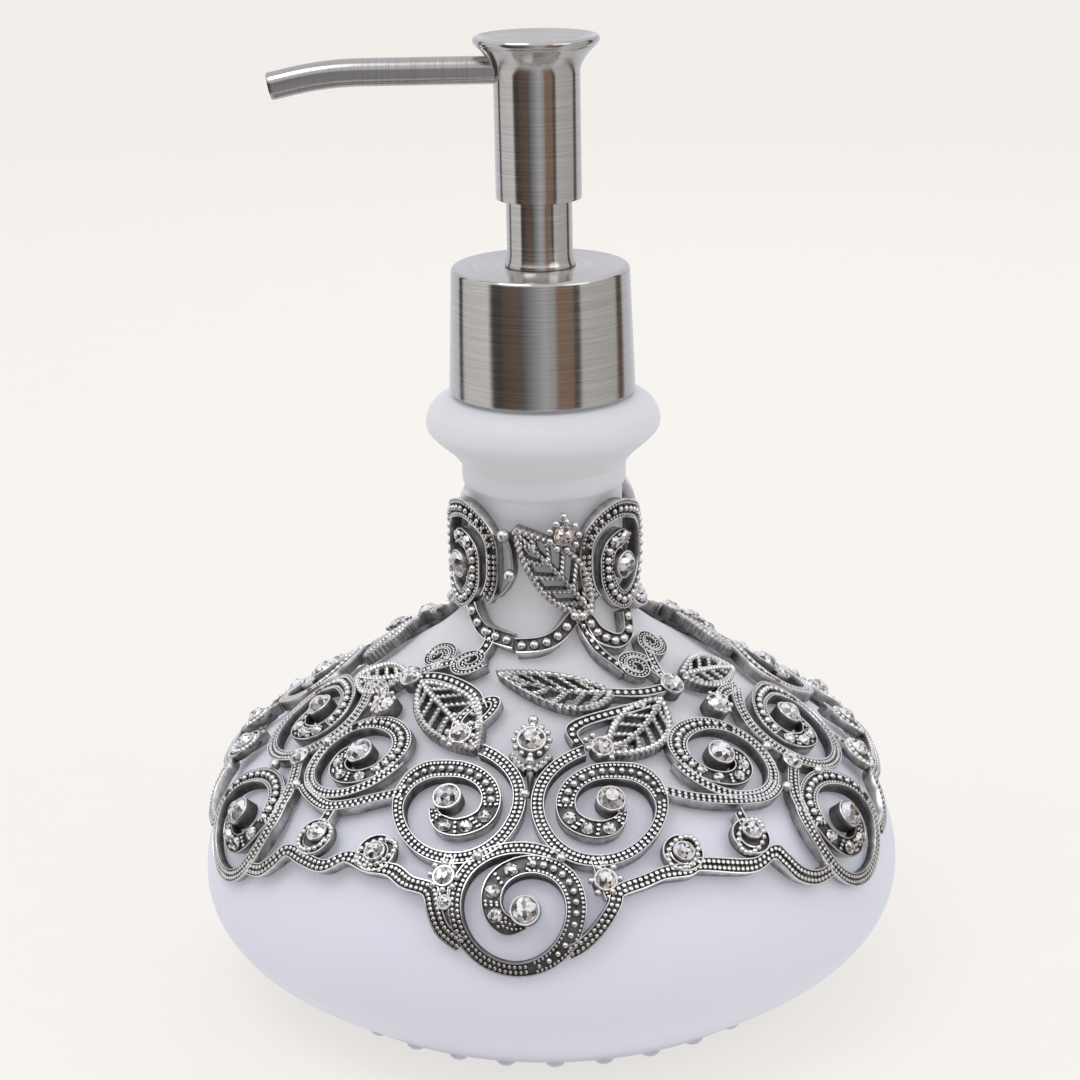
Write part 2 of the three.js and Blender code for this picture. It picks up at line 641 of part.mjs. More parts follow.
const engine = new THREE.Group();
parts.add(engine);
addPart(engine, 'neck_gasket', turnedRing([[9.7, GASKET_Z], [12.4, GASKET_Z], [12.4, GASKET_Z + 0.9],
  [9.7, GASKET_Z + 0.9]], 24), 0x2c2c2e, 0.8, 0);
addPlastic(engine, 'pump_cylinder', pumpCylinder());
addPlastic(engine, 'spring_seat', springSeat());
addPlastic(engine, 'guide_nut', guideNut());
addSteel(engine, 'main_spring', mainSpring());
addPlastic(engine, 'dip_tube', turnedRing([[TUBE_BORE_R, TUBE_BOTTOM_Z], [TUBE_R, TUBE_BOTTOM_Z],
  [TUBE_R, SOCKET_TOP_Z - 0.3], [TUBE_BORE_R, SOCKET_TOP_Z - 0.3]], SMALL_SEGMENTS));
const ball = addSteel(engine, 'ball_valve', closed(new THREE.SphereGeometry(BALL_R, 12, 8)));
ball.position.z = BALL_Z;

// ---- Closure: steel collar over a threaded liner, with the tube that the head slides on -----
const COLLAR_EDGE_R = 1;

function collarShell() {
  const innerTop = COLLAR_TOP_R - SHEET;
  const hole = SLEEVE_R + 0.15;
  return turnedRing([
    [hole, COLLAR_TOP_Z - SHEET], [hole, COLLAR_TOP_Z],
    ...arc(COLLAR_TOP_R - COLLAR_EDGE_R, COLLAR_TOP_Z - COLLAR_EDGE_R, COLLAR_EDGE_R, 90, 0, 3),
    [COLLAR_BOTTOM_R, COLLAR_BOTTOM_Z + 0.5], [COLLAR_BOTTOM_R - 0.3, COLLAR_BOTTOM_Z],
    [COLLAR_BOTTOM_R - SHEET, COLLAR_BOTTOM_Z + 0.3], [innerTop, COLLAR_TOP_Z - SHEET],
  ], GLASS_SEGMENTS);
}

const LINER_R = 15.85;
const LINER_BORE_R = 14.15;
const LINER_TOP_Z = FLANGE_TOP + 2.2;
const LINER_CREST_R = 12.95;

function closureLiner() {
  const skirt = turnedRing([
    [10, LINER_TOP_Z], [LINER_R, LINER_TOP_Z], [LINER_R, 119.4], [LINER_BORE_R, 119.4],
    [LINER_BORE_R, FLANGE_TOP + 0.3], [10, FLANGE_TOP + 0.3],
  ]);
  return joined([skirt, threadRidge(LINER_BORE_R + 0.4, LINER_CREST_R, 124.6 - THREAD_PITCH / 2)]);
}

const SLEEVE_TOP_Z = 163;

function guideSleeve() {
  const foot = COLLAR_TOP_Z + 0.15;
  return turnedRing([
    [SLEEVE_R - 0.5, 139.9], [SLEEVE_R, 139.9], [SLEEVE_R, foot], [SLEEVE_R + 0.55, foot],
    [SLEEVE_R + 0.5, foot + 0.8], [SLEEVE_R + 0.15, foot + 2], [SLEEVE_R, foot + 3],
    [SLEEVE_R, SLEEVE_TOP_Z - 0.2], [SLEEVE_R - 0.2, SLEEVE_TOP_Z], [SLEEVE_R - 0.5, SLEEVE_TOP_Z],
  ]);
}

const closure = new THREE.Group();
parts.add(closure);
addSteel(closure, 'collar_shell', collarShell());
addPlastic(closure, 'closure_liner', closureLiner());
addSteel(closure, 'guide_sleeve', guideSleeve());

// ---- Plunger: hollow stem and piston, pushed up by the spring -------------------------------
const STEM_TOP_Z = 168;
const STEM_BOTTOM_Z = 124;
const STEM_BORE_R = 1.9;

const plunger = new THREE.Group();
parts.add(plunger);
addPlastic(plunger, 'piston_stem', turnedRing([
  [STEM_BORE_R, STEM_BOTTOM_Z], [STEM_R, STEM_BOTTOM_Z], [STEM_R, SPRING_HIGH_Z + 0.15],
  [5.7, SPRING_HIGH_Z + 0.15], [5.7, SPRING_HIGH_Z + 1.4], [STEM_R, SPRING_HIGH_Z + 1.4],
  [STEM_R, STEM_TOP_Z], [STEM_BORE_R, STEM_TOP_Z],
], SMALL_SEGMENTS));
addPart(plunger, 'piston_seal', turnedRing([
  [STEM_R + 0.15, SPRING_HIGH_Z + 1.6], [5.4, SPRING_HIGH_Z + 1.6], [6.36, SPRING_HIGH_Z + 1.2],
  [6.36, SEAL_TOP_Z], [5.6, SEAL_TOP_Z], [5.6, SPRING_HIGH_Z + 3.4], [4.4, SPRING_HIGH_Z + 3.4],
  [4.4, SEAL_TOP_Z - 0.8], [STEM_R + 0.15, SEAL_TOP_Z - 0.8],
]), 0xd8d8d4, 0.6, 0);

// ---- Press head ------------------------------------------------------------------------------
const FLARE_Z = 178;
const HEAD_BORE_R = HEAD_R - SHEET;
const CORE_TOP_Z = 180.6;

// The flare opens from the head's tube into the rim as an eased curve.
function flare(steps) {
  return Array.from({ length: steps + 1 }, (_, i) => {
    const t = i / steps;
    const radius = THREE.MathUtils.lerp(HEAD_R, RIM_R - 0.25, t ** 1.5);
    return [radius, THREE.MathUtils.lerp(FLARE_Z, HEIGHT - 1.7, t)];
  });
}

function spoutHole(fromX) {
  const hole = bar(SPOUT_R + 0.17, 14 + fromX, 16);
  hole.rotateZ(Math.PI / 2);
  return hole.translate(-(14 - fromX) / 2, 0, SPOUT_Z);
}

function headShell() {
  const shell = turnedRing([
    [0, HEIGHT - 2.4], [4, HEIGHT - 2.2], [RIM_R - 1, HEIGHT - 0.1], [RIM_R - 0.6, HEIGHT],
    [RIM_R - 0.1, HEIGHT - 0.35], [RIM_R, HEIGHT - 0.8], [RIM_R - 0.1, HEIGHT - 1.4],
    ...flare(5).reverse(), [HEAD_R, HEAD_BOTTOM_Z + 0.7], [HEAD_R - 0.25, HEAD_BOTTOM_Z],
    [HEAD_BORE_R, HEAD_BOTTOM_Z + 0.3], [HEAD_BORE_R, CORE_TOP_Z + 0.2], [0, CORE_TOP_Z + 0.2],
  ]);
  return cut(shell, [spoutHole(-3)]);
}

function actuatorCore() {
  const outer = HEAD_BORE_R - 0.15;
  const linerR = SLEEVE_R + 0.3;
  const socketR = STEM_R + 0.12;
  const hub = turned([
    [0, CORE_TOP_Z], [outer, CORE_TOP_Z], [outer, HEAD_BOTTOM_Z + 0.7], [linerR, HEAD_BOTTOM_Z + 0.7],
    [linerR, 173.2], [5.3, 173.2], [5.3, 156], [socketR, 156], [socketR, STEM_TOP_Z + 0.2],
    [STEM_BORE_R, STEM_TOP_Z + 0.2], [STEM_BORE_R, SPOUT_Z], [0, SPOUT_Z],
  ], 24);
  return cut(hub, [spoutHole(-1)]);
}

// The spout leaves the head level and droops over its last third.
function spoutTube() {
  const start = 2.6;
  const bendFrom = 32;
  const droop = 12.2 * DEG;
  const bendR = 62;
  const path = [new THREE.Vector3(-start, 0, SPOUT_Z), new THREE.Vector3(-12, 0, SPOUT_Z),
    new THREE.Vector3(-22, 0, SPOUT_Z)];
  for (let i = 0; i <= 5; i += 1) {
    const angle = (droop * i) / 5;
    const drop = bendR * (1 - Math.cos(angle));
    path.push(new THREE.Vector3(-bendFrom - bendR * Math.sin(angle), 0, SPOUT_Z - drop));
  }
  const last = path[path.length - 1];
  const rest = (SPOUT_REACH + last.x) / Math.cos(droop);
  path.push(new THREE.Vector3(last.x - rest * Math.cos(droop), 0, last.z - rest * Math.sin(droop)));
  const section = new THREE.Shape(vec2(arc(0, 0, SPOUT_R, 0, 315, 7)));
  section.holes.push(new THREE.Path(vec2(arc(0, 0, SPOUT_R - 0.45, 0, 315, 7).reverse())));
  return closed(new THREE.ExtrudeGeometry(section, {
    steps: 14, bevelEnabled: false, extrudePath: new THREE.CatmullRomCurve3(path),
  }));
}

const head = new THREE.Group();
parts.add(head);
addSteel(head, 'head_shell', headShell());
addPlastic(head, 'actuator_core', actuatorCore());
addSteel(head, 'spout_tube', spoutTube());

export default parts;
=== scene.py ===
"""Looks for the soap pump dispenser: smooth frosted glass, cast pewter filigree with beads and
rhinestones, and brushed steel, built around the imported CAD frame. Design sizes are in millimetres
and become metres when a mesh is made. Azimuth is measured from the front (-Y) towards +X."""
import math
import random

import bpy
import numpy as np
from mathutils import Matrix, Vector

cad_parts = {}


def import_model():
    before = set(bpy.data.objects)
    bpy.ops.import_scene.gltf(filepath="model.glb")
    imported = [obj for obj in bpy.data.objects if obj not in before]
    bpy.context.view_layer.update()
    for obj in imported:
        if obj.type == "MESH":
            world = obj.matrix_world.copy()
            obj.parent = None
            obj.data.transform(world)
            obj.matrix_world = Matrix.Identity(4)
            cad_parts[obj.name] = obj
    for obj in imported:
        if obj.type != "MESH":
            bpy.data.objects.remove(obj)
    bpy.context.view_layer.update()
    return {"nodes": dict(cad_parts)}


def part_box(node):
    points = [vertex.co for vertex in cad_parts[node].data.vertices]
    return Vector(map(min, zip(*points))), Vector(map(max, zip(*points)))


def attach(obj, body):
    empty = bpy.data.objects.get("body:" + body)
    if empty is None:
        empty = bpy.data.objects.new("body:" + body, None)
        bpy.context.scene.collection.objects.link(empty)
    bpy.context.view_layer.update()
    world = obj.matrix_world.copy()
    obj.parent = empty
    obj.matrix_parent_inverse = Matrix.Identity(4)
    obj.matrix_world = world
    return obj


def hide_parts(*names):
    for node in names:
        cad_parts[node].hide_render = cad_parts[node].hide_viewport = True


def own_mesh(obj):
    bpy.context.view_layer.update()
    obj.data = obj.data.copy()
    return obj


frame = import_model()

MM = 0.001
TAU = 2 * math.pi
X, Y, Z = np.eye(3)
rng = random.Random(7)


def cad_box(node):
    """Lowest and highest corner of a CAD node, in millimetres."""
    low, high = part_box(node)
    return np.array(low) / MM, np.array(high) / MM


# ---- Curves ----
def catmull(points, t):
    """Points of a uniform Catmull-Rom spline at parameters t from 0 to 1."""
    p = np.asarray(points, float)
    n = len(p) - 1
    x = np.clip(np.asarray(t, float), 0, 1) * n
    i = np.minimum(x.astype(int), n - 1)
    w = (x - i)[:, None]
    p0, p1, p2, p3 = p[np.maximum(i - 1, 0)], p[i], p[i + 1], p[np.minimum(i + 2, n)]
    v0, v1 = (p2 - p0) / 2, (p3 - p1) / 2
    cubic = 2 * (p1 - p2) + v0 + v1
    square = 3 * (p2 - p1) - 2 * v0 - v1
    return ((cubic * w + square) * w + v0) * w + p1


def lengths(points):
    """Running length along a polyline."""
    steps = np.linalg.norm(np.diff(points, axis=0), axis=1)
    return np.concatenate([[0], np.cumsum(steps)])


def resampled(points, step):
    """The polyline with its points about a step apart."""
    points = np.asarray(points, float)
    along = lengths(points)
    count = max(int(round(along[-1] / step)), 2)
    at = np.linspace(0, along[-1], count + 1)
    return np.stack([np.interp(at, along, points[:, k]) for k in range(points.shape[1])], 1)


def smooth_line(points, step=0.4):
    """A smooth line through a few chosen points."""
    return resampled(catmull(points, np.linspace(0, 1, 24 * len(points))), step)


def smoothstep(x, low, high):
    t = np.clip((np.asarray(x, float) - low) / (high - low), 0, 1)
    return t * t * (3 - 2 * t)


# ---- Where the castings lie ----
# The castings' faces lie on this curve of [radius, height]; s is its length from the neck's top.
FACE_KEYS = [
    [18.6, 100], [18.6, 88], [18.6, 78], [20.8, 72.2], [26.5, 68.6], [34.6, 63.4], [46, 55.8],
    [57.7, 48], [63.2, 44], [66.4, 40], [68.4, 35], [70, 28],
]
FACE = catmull(FACE_KEYS, np.linspace(0, 1, 1200))
FACE_S = lengths(FACE)
FACE_T = np.gradient(FACE, FACE_S, axis=0)
CAST_DEPTH = 2.3
EDGE_DEPTH = 1.45
BACK = -99.0  # stands for the casting's back face


class Patch:
    """A flat layout bent onto the bottle: x right in mm of arc, y up the shoulder, h outwards."""

    def __init__(self, azimuth, s):
        self.azimuth = math.radians(azimuth)
        self.s = s

    def face(self, x, y):
        """Arc length, radius, height, the two parts of the slope, and azimuth of flat points."""
        s = np.clip(self.s - np.asarray(y, float), 0.01, FACE_S[-1] - 0.01)
        r = np.interp(s, FACE_S, FACE[:, 0])
        z = np.interp(s, FACE_S, FACE[:, 1])
        tr = np.interp(s, FACE_S, FACE_T[:, 0])
        tz = np.interp(s, FACE_S, FACE_T[:, 1])
        return s, r, z, tr, tz, self.azimuth + np.asarray(x, float) / r

    def place(self, x, y, h):
        """World points in mm; a height of BACK goes down to the casting's back face."""
        s, r, z, tr, tz, phi = self.face(x, y)
        depth = CAST_DEPTH + (EDGE_DEPTH - CAST_DEPTH) * smoothstep(s, 82, 93)
        h = np.where(np.asarray(h, float) <= BACK, -depth, h)
        r = r - tz * h
        return np.stack([r * np.sin(phi), -r * np.cos(phi), z + tr * h], -1)

    def frame(self, x, y, h=0.0):
        """Origin and the right, up-slope and outward directions at one flat point."""
        _, r, z, tr, tz, phi = self.face(x, y)
        sin, cos = math.sin(phi), math.cos(phi)
        right = np.array([cos, sin, 0])
        out = np.array([-tz * sin, tz * cos, tr])
        up = np.cross(out, right)
        return np.array([r * sin, -r * cos, z]) + out * h, right, up, out


# ---- Mesh building ----
PLAIN = 0.8  # the tone of a piece that has no patina


class Body:
    """Collects closed shells in world millimetres, with tones from 0 (recess patina, or painted shade on a
    shaded wall) to 1 (rubbed).
    """

    def __init__(self):
        self.points, self.tones, self.faces, self.count = [], [], [], 0

    def shell(self, points, faces, tones):
        points = np.asarray(points, float).reshape(-1, 3)
        self.points.append(points)
        self.tones.append(np.broadcast_to(np.asarray(tones, float), len(points)).copy())
        self.faces += [[i + self.count for i in face] for face in faces]
        self.count += len(points)

    def grid(self, rings, tones=PLAIN):
        """A swept tube: rings is (count, around, 3), and both ends are capped."""
        n, m = rings.shape[:2]
        faces = [list(range(m)), [(n - 1) * m + j for j in reversed(range(m))]]
        for i in range(n - 1):
            for j in range(m):
                k = (j + 1) % m
                faces.append([i * m + k, i * m + j, (i + 1) * m + j, (i + 1) * m + k])
        self.shell(rings, faces, np.asarray(tones).reshape(-1))

    def lathe(self, origin, right, up, out, profile, segments, tones=PLAIN):
        """A turned solid about out; its profile of [radius, height] starts and ends at radius 0."""
        profile = np.asarray(profile, float)
        tones = np.broadcast_to(tones, len(profile))
        angle = np.linspace(0, TAU, segments, endpoint=False)
        ring = np.cos(angle)[:, None] * right + np.sin(angle)[:, None] * up
        inner = profile[1:-1]
        rings = origin + inner[:, 0, None, None] * ring + inner[:, 1, None, None] * out
        ends = [origin + profile[0, 1] * out, origin + profile[-1, 1] * out]
        n = len(inner)
        points = np.concatenate([ends, rings.reshape(-1, 3)])

        def index(i, j):
            return 2 + i * segments + j % segments

        faces = [[0, index(0, j + 1), index(0, j)] for j in range(segments)]
        for i in range(n - 1):
            faces += [[index(i, j), index(i, j + 1), index(i + 1, j + 1), index(i + 1, j)]
                      for j in range(segments)]
        faces += [[1, index(n - 1, j), index(n - 1, j + 1)] for j in range(segments)]
        level = np.concatenate([[tones[0], tones[-1]], np.repeat(tones[1:-1], segments)])
        self.shell(points, faces, level)

    def mesh(self, name):
        mesh = bpy.data.meshes.new(name)
        mesh.from_pydata((np.concatenate(self.points) * MM).tolist(), [], self.faces)
        return mesh

    def make(self, name, material, body, slot, replaces, sharp=38):
        """The piece; edges sharper than this many degrees stay crisp."""
        mesh = self.mesh(name)
        tone = mesh.attributes.new("tone", "FLOAT", "POINT")
        tone.data.foreach_set("value", np.concatenate(self.tones).astype(np.float32))
        return finished(mesh, name, material, body, replaces, sharp)


def added(name, data):
    """A new object in the scene."""
    made = bpy.data.objects.new(name, data)
    bpy.context.scene.collection.objects.link(made)
    return made


def finished(mesh, name, material, body, replaces, sharp):
    """Turns a mesh into a piece that rides on a CAD body and stands for the given CAD nodes."""
    mesh.validate()
    mesh.materials.append(material)
    if sharp:
        mesh.polygons.foreach_set("use_smooth", [True] * len(mesh.polygons))
        mesh.set_sharp_from_angle(angle=math.radians(sharp))
    piece = added(name, mesh)
    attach(piece, body)
    if replaces:
        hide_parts(*replaces)
    return piece


# ---- Ornament vocabulary ----
def sides(line):
    """Unit directions to the left of a flat line."""
    along = np.gradient(line, axis=0)
    along /= np.linalg.norm(along, axis=1)[:, None]
    return np.stack([-along[:, 1], along[:, 0]], 1)


def sweep(work, line, offsets, heights, tones):
    """Sweeps a section of (offset, height) along a flat line; each may change along the line."""
    normal = sides(line)
    n = len(line)
    offsets = np.broadcast_to(offsets, (n, np.shape(offsets)[-1]))
    heights = np.broadcast_to(heights, offsets.shape)
    flat = line[:, None, :] + offsets[..., None] * normal[:, None, :]
    work.grid(work.patch.place(flat[..., 0], flat[..., 1], heights), np.broadcast_to(tones, offsets.shape))


RIM = 0.3
CHANNEL = -0.55
BAND_SIDE = [[0.0, BACK, 0.3], [0.0, -1.1, 0.5], [0.0, -0.14, 0.8], [0.08, 0.0, 1.0],
             [RIM - 0.06, 0.0, 1.0], [RIM, -0.1, 0.7], [RIM + 0.04, CHANNEL, 0.12]]


def band(work, line, width, shaded=0):
    """A flat strap between two rims with a dark channel; shaded picks a side whose wall gets painted shade.
    """
    half = np.broadcast_to(np.asarray(width, float) / 2, len(line))[:, None]
    inset = np.array([row[0] for row in BAND_SIDE])
    offsets = np.concatenate([-half + inset, (half - inset)[:, ::-1]], 1)
    heights = [row[1] for row in BAND_SIDE]
    tones = [row[2] for row in BAND_SIDE]
    # Painted shade: the shaded side's wall takes tones near black instead of its patina tones.
    dark = [0.0, 0.04, 0.5] + tones[3:]
    right, left = (dark if shaded < 0 else tones), (dark if shaded > 0 else tones)
    sweep(work, line, offsets, heights + heights[::-1], right + left[::-1])


def bead(work, x, y, radius, h, fine=True):
    """A cast ball, more than half out of the surface."""
    steps = 4 if fine else 3
    angles = np.linspace(math.pi / 2, -math.pi / 3, steps + 1)[1:]
    profile = [[0, radius]] + [[radius * math.cos(a), radius * math.sin(a)] for a in angles]
    profile.append([0, -radius * 0.87])
    tones = [1.0] + [max(0.15, 0.55 + 0.6 * math.sin(a)) for a in angles] + [0]
    work.lathe(*work.patch.frame(x, y, h), profile[::-1], 10 if fine else 7, tones[::-1])


def bead_row(work, line, offset, radius, pitch, h):
    """Beads along a line; their radius changes along it from [start, end]."""
    shifted = line + np.reshape(offset, (-1, 1)) * sides(line)
    along = lengths(shifted)
    if along[-1] < pitch:
        return
    count = max(int(along[-1] / pitch), 1)
    at = (np.arange(count) + 0.5) * along[-1] / count
    for s in at:
        x, y = np.interp(s, along, shifted[:, 0]), np.interp(s, along, shifted[:, 1])
        size = float(np.interp(s / along[-1], [0, 1], radius))
        bead(work, x, y, size, h, fine=size > 0.55)


def double_row(work, line, width):
    """Two rows of fine beads that fill a band's channel."""
    reach = width / 2 - RIM
    for side in (-0.5, 0.5):
        bead_row(work, line, side * reach, [reach * 0.46] * 2, reach * 0.98, CHANNEL + 0.24)


def cup(work, x, y, radius, top=0.75, wall=0.42, back=-2.2):
    """The bezel that a rhinestone sits in."""
    inner = radius - wall
    profile = [[0, back], [radius, back], [radius, -0.2], [radius, top - 0.16], [radius - 0.13, top],
               [inner + 0.05, top], [inner, top - 0.1], [inner, top - 0.9], [0, top - 0.9]]
    work.lathe(*work.patch.frame(x, y), profile, 28, [0, 0.1, 0.3, 0.75, 1, 1, 0.4, 0, 0])


def bead_ring(work, x, y, ring, count, radius, h):
    for i in range(count):
        a = TAU * i / count
        bead(work, x + ring * math.cos(a), y + ring * math.sin(a), radius, h)


ROPE_Q = np.array([-1, -1, -0.86, -0.5, 0, 0.5, 0.86, 1, 1])


def rope(work, line, radius, h, pitch=1.15, taper=0.0, hand=1):
    """A twisted rope with a straight wall down to the casting's back."""
    line = resampled(line, pitch / 5)
    along = lengths(line)
    thin = 1 - taper * along / along[-1]
    r = (radius * thin)[:, None]
    twist = np.cos(TAU * along[:, None] / pitch + hand * 1.9 * ROPE_Q)
    crown = np.sqrt(1 - np.clip(np.abs(ROPE_Q), 0, 0.999) ** 2)
    heights = h - r * (1 - crown) + 0.17 * twist * (crown > 0.1)
    heights[:, [0, -1]] = BACK
    tones = np.clip(0.86 + 0.4 * twist, 0, 1) * (0.5 + 0.5 * crown)
    tones[:, [0, -1]] = 0.25
    sweep(work, line, r * ROPE_Q * (1 + 0.07 * twist), heights, tones)


class Stones(Body):
    """Cut rhinestones: an eight-sided crown over a shallow back, one flat face per facet."""

    def __init__(self):
        super().__init__()
        self.facet_glints = []

    def add(self, patch, x, y, radius, h, tall=0.55):
        """A stone with its girdle h above the face; its rows are (radius, height, count, phase)."""
        origin, right, up, out = patch.frame(x, y, h)
        turn = rng.random() * TAU
        rows = [(0.0, tall, 1, 0), (0.56, tall, 8, 0), (0.82, tall * 0.62, 8, 0.5),
                (1.0, tall * 0.12, 16, 0), (1.0, -tall * 0.12, 16, 0), (0.0, -tall * 0.7, 1, 0)]
        start, points = [], []
        for ring, height, count, phase in rows:
            start.append(len(points))
            for i in range(count):
                a = turn + TAU * (i + phase) / count
                p = origin + radius * ring * (math.cos(a) * right + math.sin(a) * up)
                points.append(p + radius * height * out)
        centre, table, kite, girdle, low, tip = start
        faces = []
        for i in range(8):
            j = (i + 1) % 8
            faces.append([centre, table + i, table + j])
            faces.append([table + i, kite + i, table + j])
            g = [girdle + (2 * i + k) % 16 for k in range(3)]
            before = kite + (i - 1) % 8
            faces.append([table + i, before, g[0], kite + i])
            faces.append([kite + i, g[0], g[1]])
            faces.append([kite + i, g[1], g[2]])
        for i in range(16):
            j = (i + 1) % 16
            faces.append([girdle + i, low + i, low + j, girdle + j])
            faces.append([low + i, tip, low + j])
        self.shell(points, faces, PLAIN)
        # Each face gets a random painted glint strength.
        self.facet_glints += [rng.random() for _ in faces]

    def cut(self, name, replaces=()):
        mesh = self.mesh(name)
        facet = mesh.attributes.new("facet", "FLOAT", "FACE")
        facet.data.foreach_set("value", self.facet_glints)
        finished(mesh, name, RHINESTONE, "bottle", replaces, sharp=0)


class Casting(Body):
    """A filigree casting: its metal, its small stones and the patch it is laid out on."""

    def __init__(self, azimuth, arc_length):
        super().__init__()
        self.patch, self.stones = Patch(azimuth, arc_length), Stones()

    def stone(self, x, y, radius, h, tall=0.55):
        self.stones.add(self.patch, x, y, radius, h, tall)

    def gem(self, x, y, node):
        """A large stone in its cup, in place of its CAD node."""
        stone = Stones()
        stone.add(self.patch, x, y, STONE_R, STONE_LIFT)
        stone.cut(f"{node}_cut", [node])

    def finish(self, node):
        """The casting in place of its CAD node, and its small stones."""
        self.make(f"{node}_cast", PEWTER, "bottle", "antique_pewter", [node])
        self.stones.cut(f"{node}_stones")


# ---- Materials ----
class Nodes:
    """Adds nodes to a tree. An input's value is a constant or another node's output."""

    def __init__(self, tree):
        self.tree = tree

    def node(self, kind, inputs=None, **settings):
        made = self.tree.nodes.new(f"ShaderNode{kind}")
        for key, value in settings.items():
            setattr(made, key, value)
        for key, value in (inputs or {}).items():
            self.put(made.inputs[key], value)
        return made

    def put(self, socket, value):
        if isinstance(value, bpy.types.NodeSocket):
            self.tree.links.new(value, socket)
        else:
            socket.default_value = value

    def fill(self, node, *values):
        """Sets a node's first inputs."""
        for socket, value in zip(node.inputs, values):
            self.put(socket, value)
        return node

    def math(self, operation, a, b=0.0, c=0.0):
        return self.fill(self.node("Math", operation=operation), a, b, c).outputs[0]

    def xyz(self, vector):
        return self.fill(self.node("SeparateXYZ"), vector).outputs

    def ramp(self, value, stops, mode="LINEAR"):
        """A colour ramp from (position, colour) stops."""
        made = self.node("ValToRGB")
        made.color_ramp.interpolation = mode
        elements = made.color_ramp.elements
        while len(elements) < len(stops):
            elements.new(0.5)
        for element, (position, colour) in zip(elements, stops):
            element.position = position
            element.color = (*colour, 1)
        self.put(made.inputs[0], value)
        return made.outputs[0]

    def object_coords(self):
        return self.node("TexCoord").outputs["Object"]

    def noise(self, vector, scale, detail, roughness=0.5):
        made = self.node("TexNoise", {"Scale": scale, "Detail": detail, "Roughness": roughness})
        self.put(made.inputs["Vector"], vector)
        return made.outputs["Fac"]

    def bump(self, height, strength, distance):
        made = self.node("Bump", {"Strength": strength, "Distance": distance})
        self.put(made.inputs["Height"], height)
        return made.outputs[0]


class Finish(Nodes):
    """A material's node tree around one Principled shader."""

    def __init__(self, name):
        self.material = bpy.data.materials.new(name)
        self.material.use_nodes = True
        super().__init__(self.material.node_tree)
        self.shader = self.tree.nodes["Principled BSDF"]

    def set(self, **inputs):
        for key, value in inputs.items():
            self.put(self.shader.inputs[key.replace("_", " ")], value)


def grey(value):
    return (value, value, value)


def tint(colour, strength):
    return tuple(strength * c for c in colour)


def pewter_material(name):
    """Antiqued pewter: dark patina in the recesses, rubbed bright on the rims and beads, and painted shade on
    the shaded walls of straps.
    """
    m = Finish(name)
    where = m.object_coords()
    tone = m.node("Attribute", attribute_name="tone").outputs["Fac"]
    cloud = m.noise(where, 420.0, 4.0, 0.6)
    grain = m.noise(where, 5200.0, 2.0)
    # Patina, wear and the painted shade of shaded walls, all from the tone, broken up by noise.
    wear_and_shade = m.math("MULTIPLY_ADD", m.math("SUBTRACT", cloud, 0.5), 0.9, tone)
    colour = m.ramp(wear_and_shade, [(0.0, (0.085, 0.084, 0.086)), (0.28, (0.22, 0.216, 0.214)),
                           (0.62, (0.52, 0.51, 0.50)), (0.92, (0.90, 0.89, 0.875))])
    rough = m.ramp(wear_and_shade, [(0.0, grey(0.62)), (0.6, grey(0.36)), (1.0, grey(0.24))])
    m.set(Base_Color=colour, Metallic=1.0, Roughness=rough, Normal=m.bump(grain, 0.25, 0.00004))
    return m.material


def brushed_material(name, along_x=False, base=(0.60, 0.585, 0.565)):
    """Brushed steel: fine lines around the part's axis, and rings on its flat ends."""
    m = Finish(name)
    x, y, z = m.xyz(m.object_coords())
    if along_x:
        fine, coarse = x, (y, z)
    else:
        radius = m.math("SQRT", m.math("ADD", m.math("MULTIPLY", x, x), m.math("MULTIPLY", y, y)))
        fine, coarse = m.math("ADD", radius, z), (x, y)
    stretched = [m.math("MULTIPLY", *pair) for pair in ((coarse[0], 55.0), (coarse[1], 55.0), (fine, 4200.0))]
    lines = m.noise(m.fill(m.node("CombineXYZ"), *stretched).outputs[0], 1.0, 5.0, 0.65)
    colour = m.ramp(lines, [(0.28, tint(base, 0.78)), (0.72, tint(base, 1.12))])
    rough = m.ramp(lines, [(0.3, grey(0.13)), (0.7, grey(0.22))])
    tangent = m.node("Tangent", direction_type="RADIAL", axis="X" if along_x else "Z")
    m.set(Base_Color=colour, Metallic=1.0, Roughness=rough, Anisotropic=0.93, Anisotropic_Rotation=0.25,
          Tangent=tangent.outputs[0], Normal=m.bump(lines, 0.1, 0.00003))
    return m.material


def glass_material(name):
    """Acid-etched glass: milky, with a very fine satin surface; its colour carries painted shade by height,
    and it glows with that colour as painted light.
    """
    m = Finish(name)
    where = m.object_coords()
    cloud = m.noise(where, 30.0, 3.0)
    etch = m.noise(where, 9000.0, 2.0)
    # Painted shade by height: darker and bluer towards the foot, greyer from the shoulder up over the neck.
    height = m.math("MULTIPLY_ADD", m.xyz(where)[2], 9.0, m.math("MULTIPLY", cloud, 0.06))
    colour = m.ramp(height, [
        (0.0, (0.38, 0.39, 0.46)), (0.07, (0.48, 0.49, 0.565)), (0.16, (0.62, 0.637, 0.715)),
        (0.4, (0.655, 0.667, 0.735)), (0.62, (0.60, 0.602, 0.63)), (0.85, (0.60, 0.602, 0.63)),
        (1.0, (0.61, 0.615, 0.65)),
    ])
    # The emission is painted light: the glass glows with its own shaded colour, standing in for light passing
    # through it.
    m.set(Base_Color=colour, Roughness=0.48, Normal=m.bump(etch, 0.12, 0.00002), Emission_Color=colour,
          Emission_Strength=0.21, Subsurface_Weight=0.35, Subsurface_Radius=(1.0, 1.0, 1.0),
          Subsurface_Scale=0.006, Specular_IOR_Level=0.4)
    return m.material


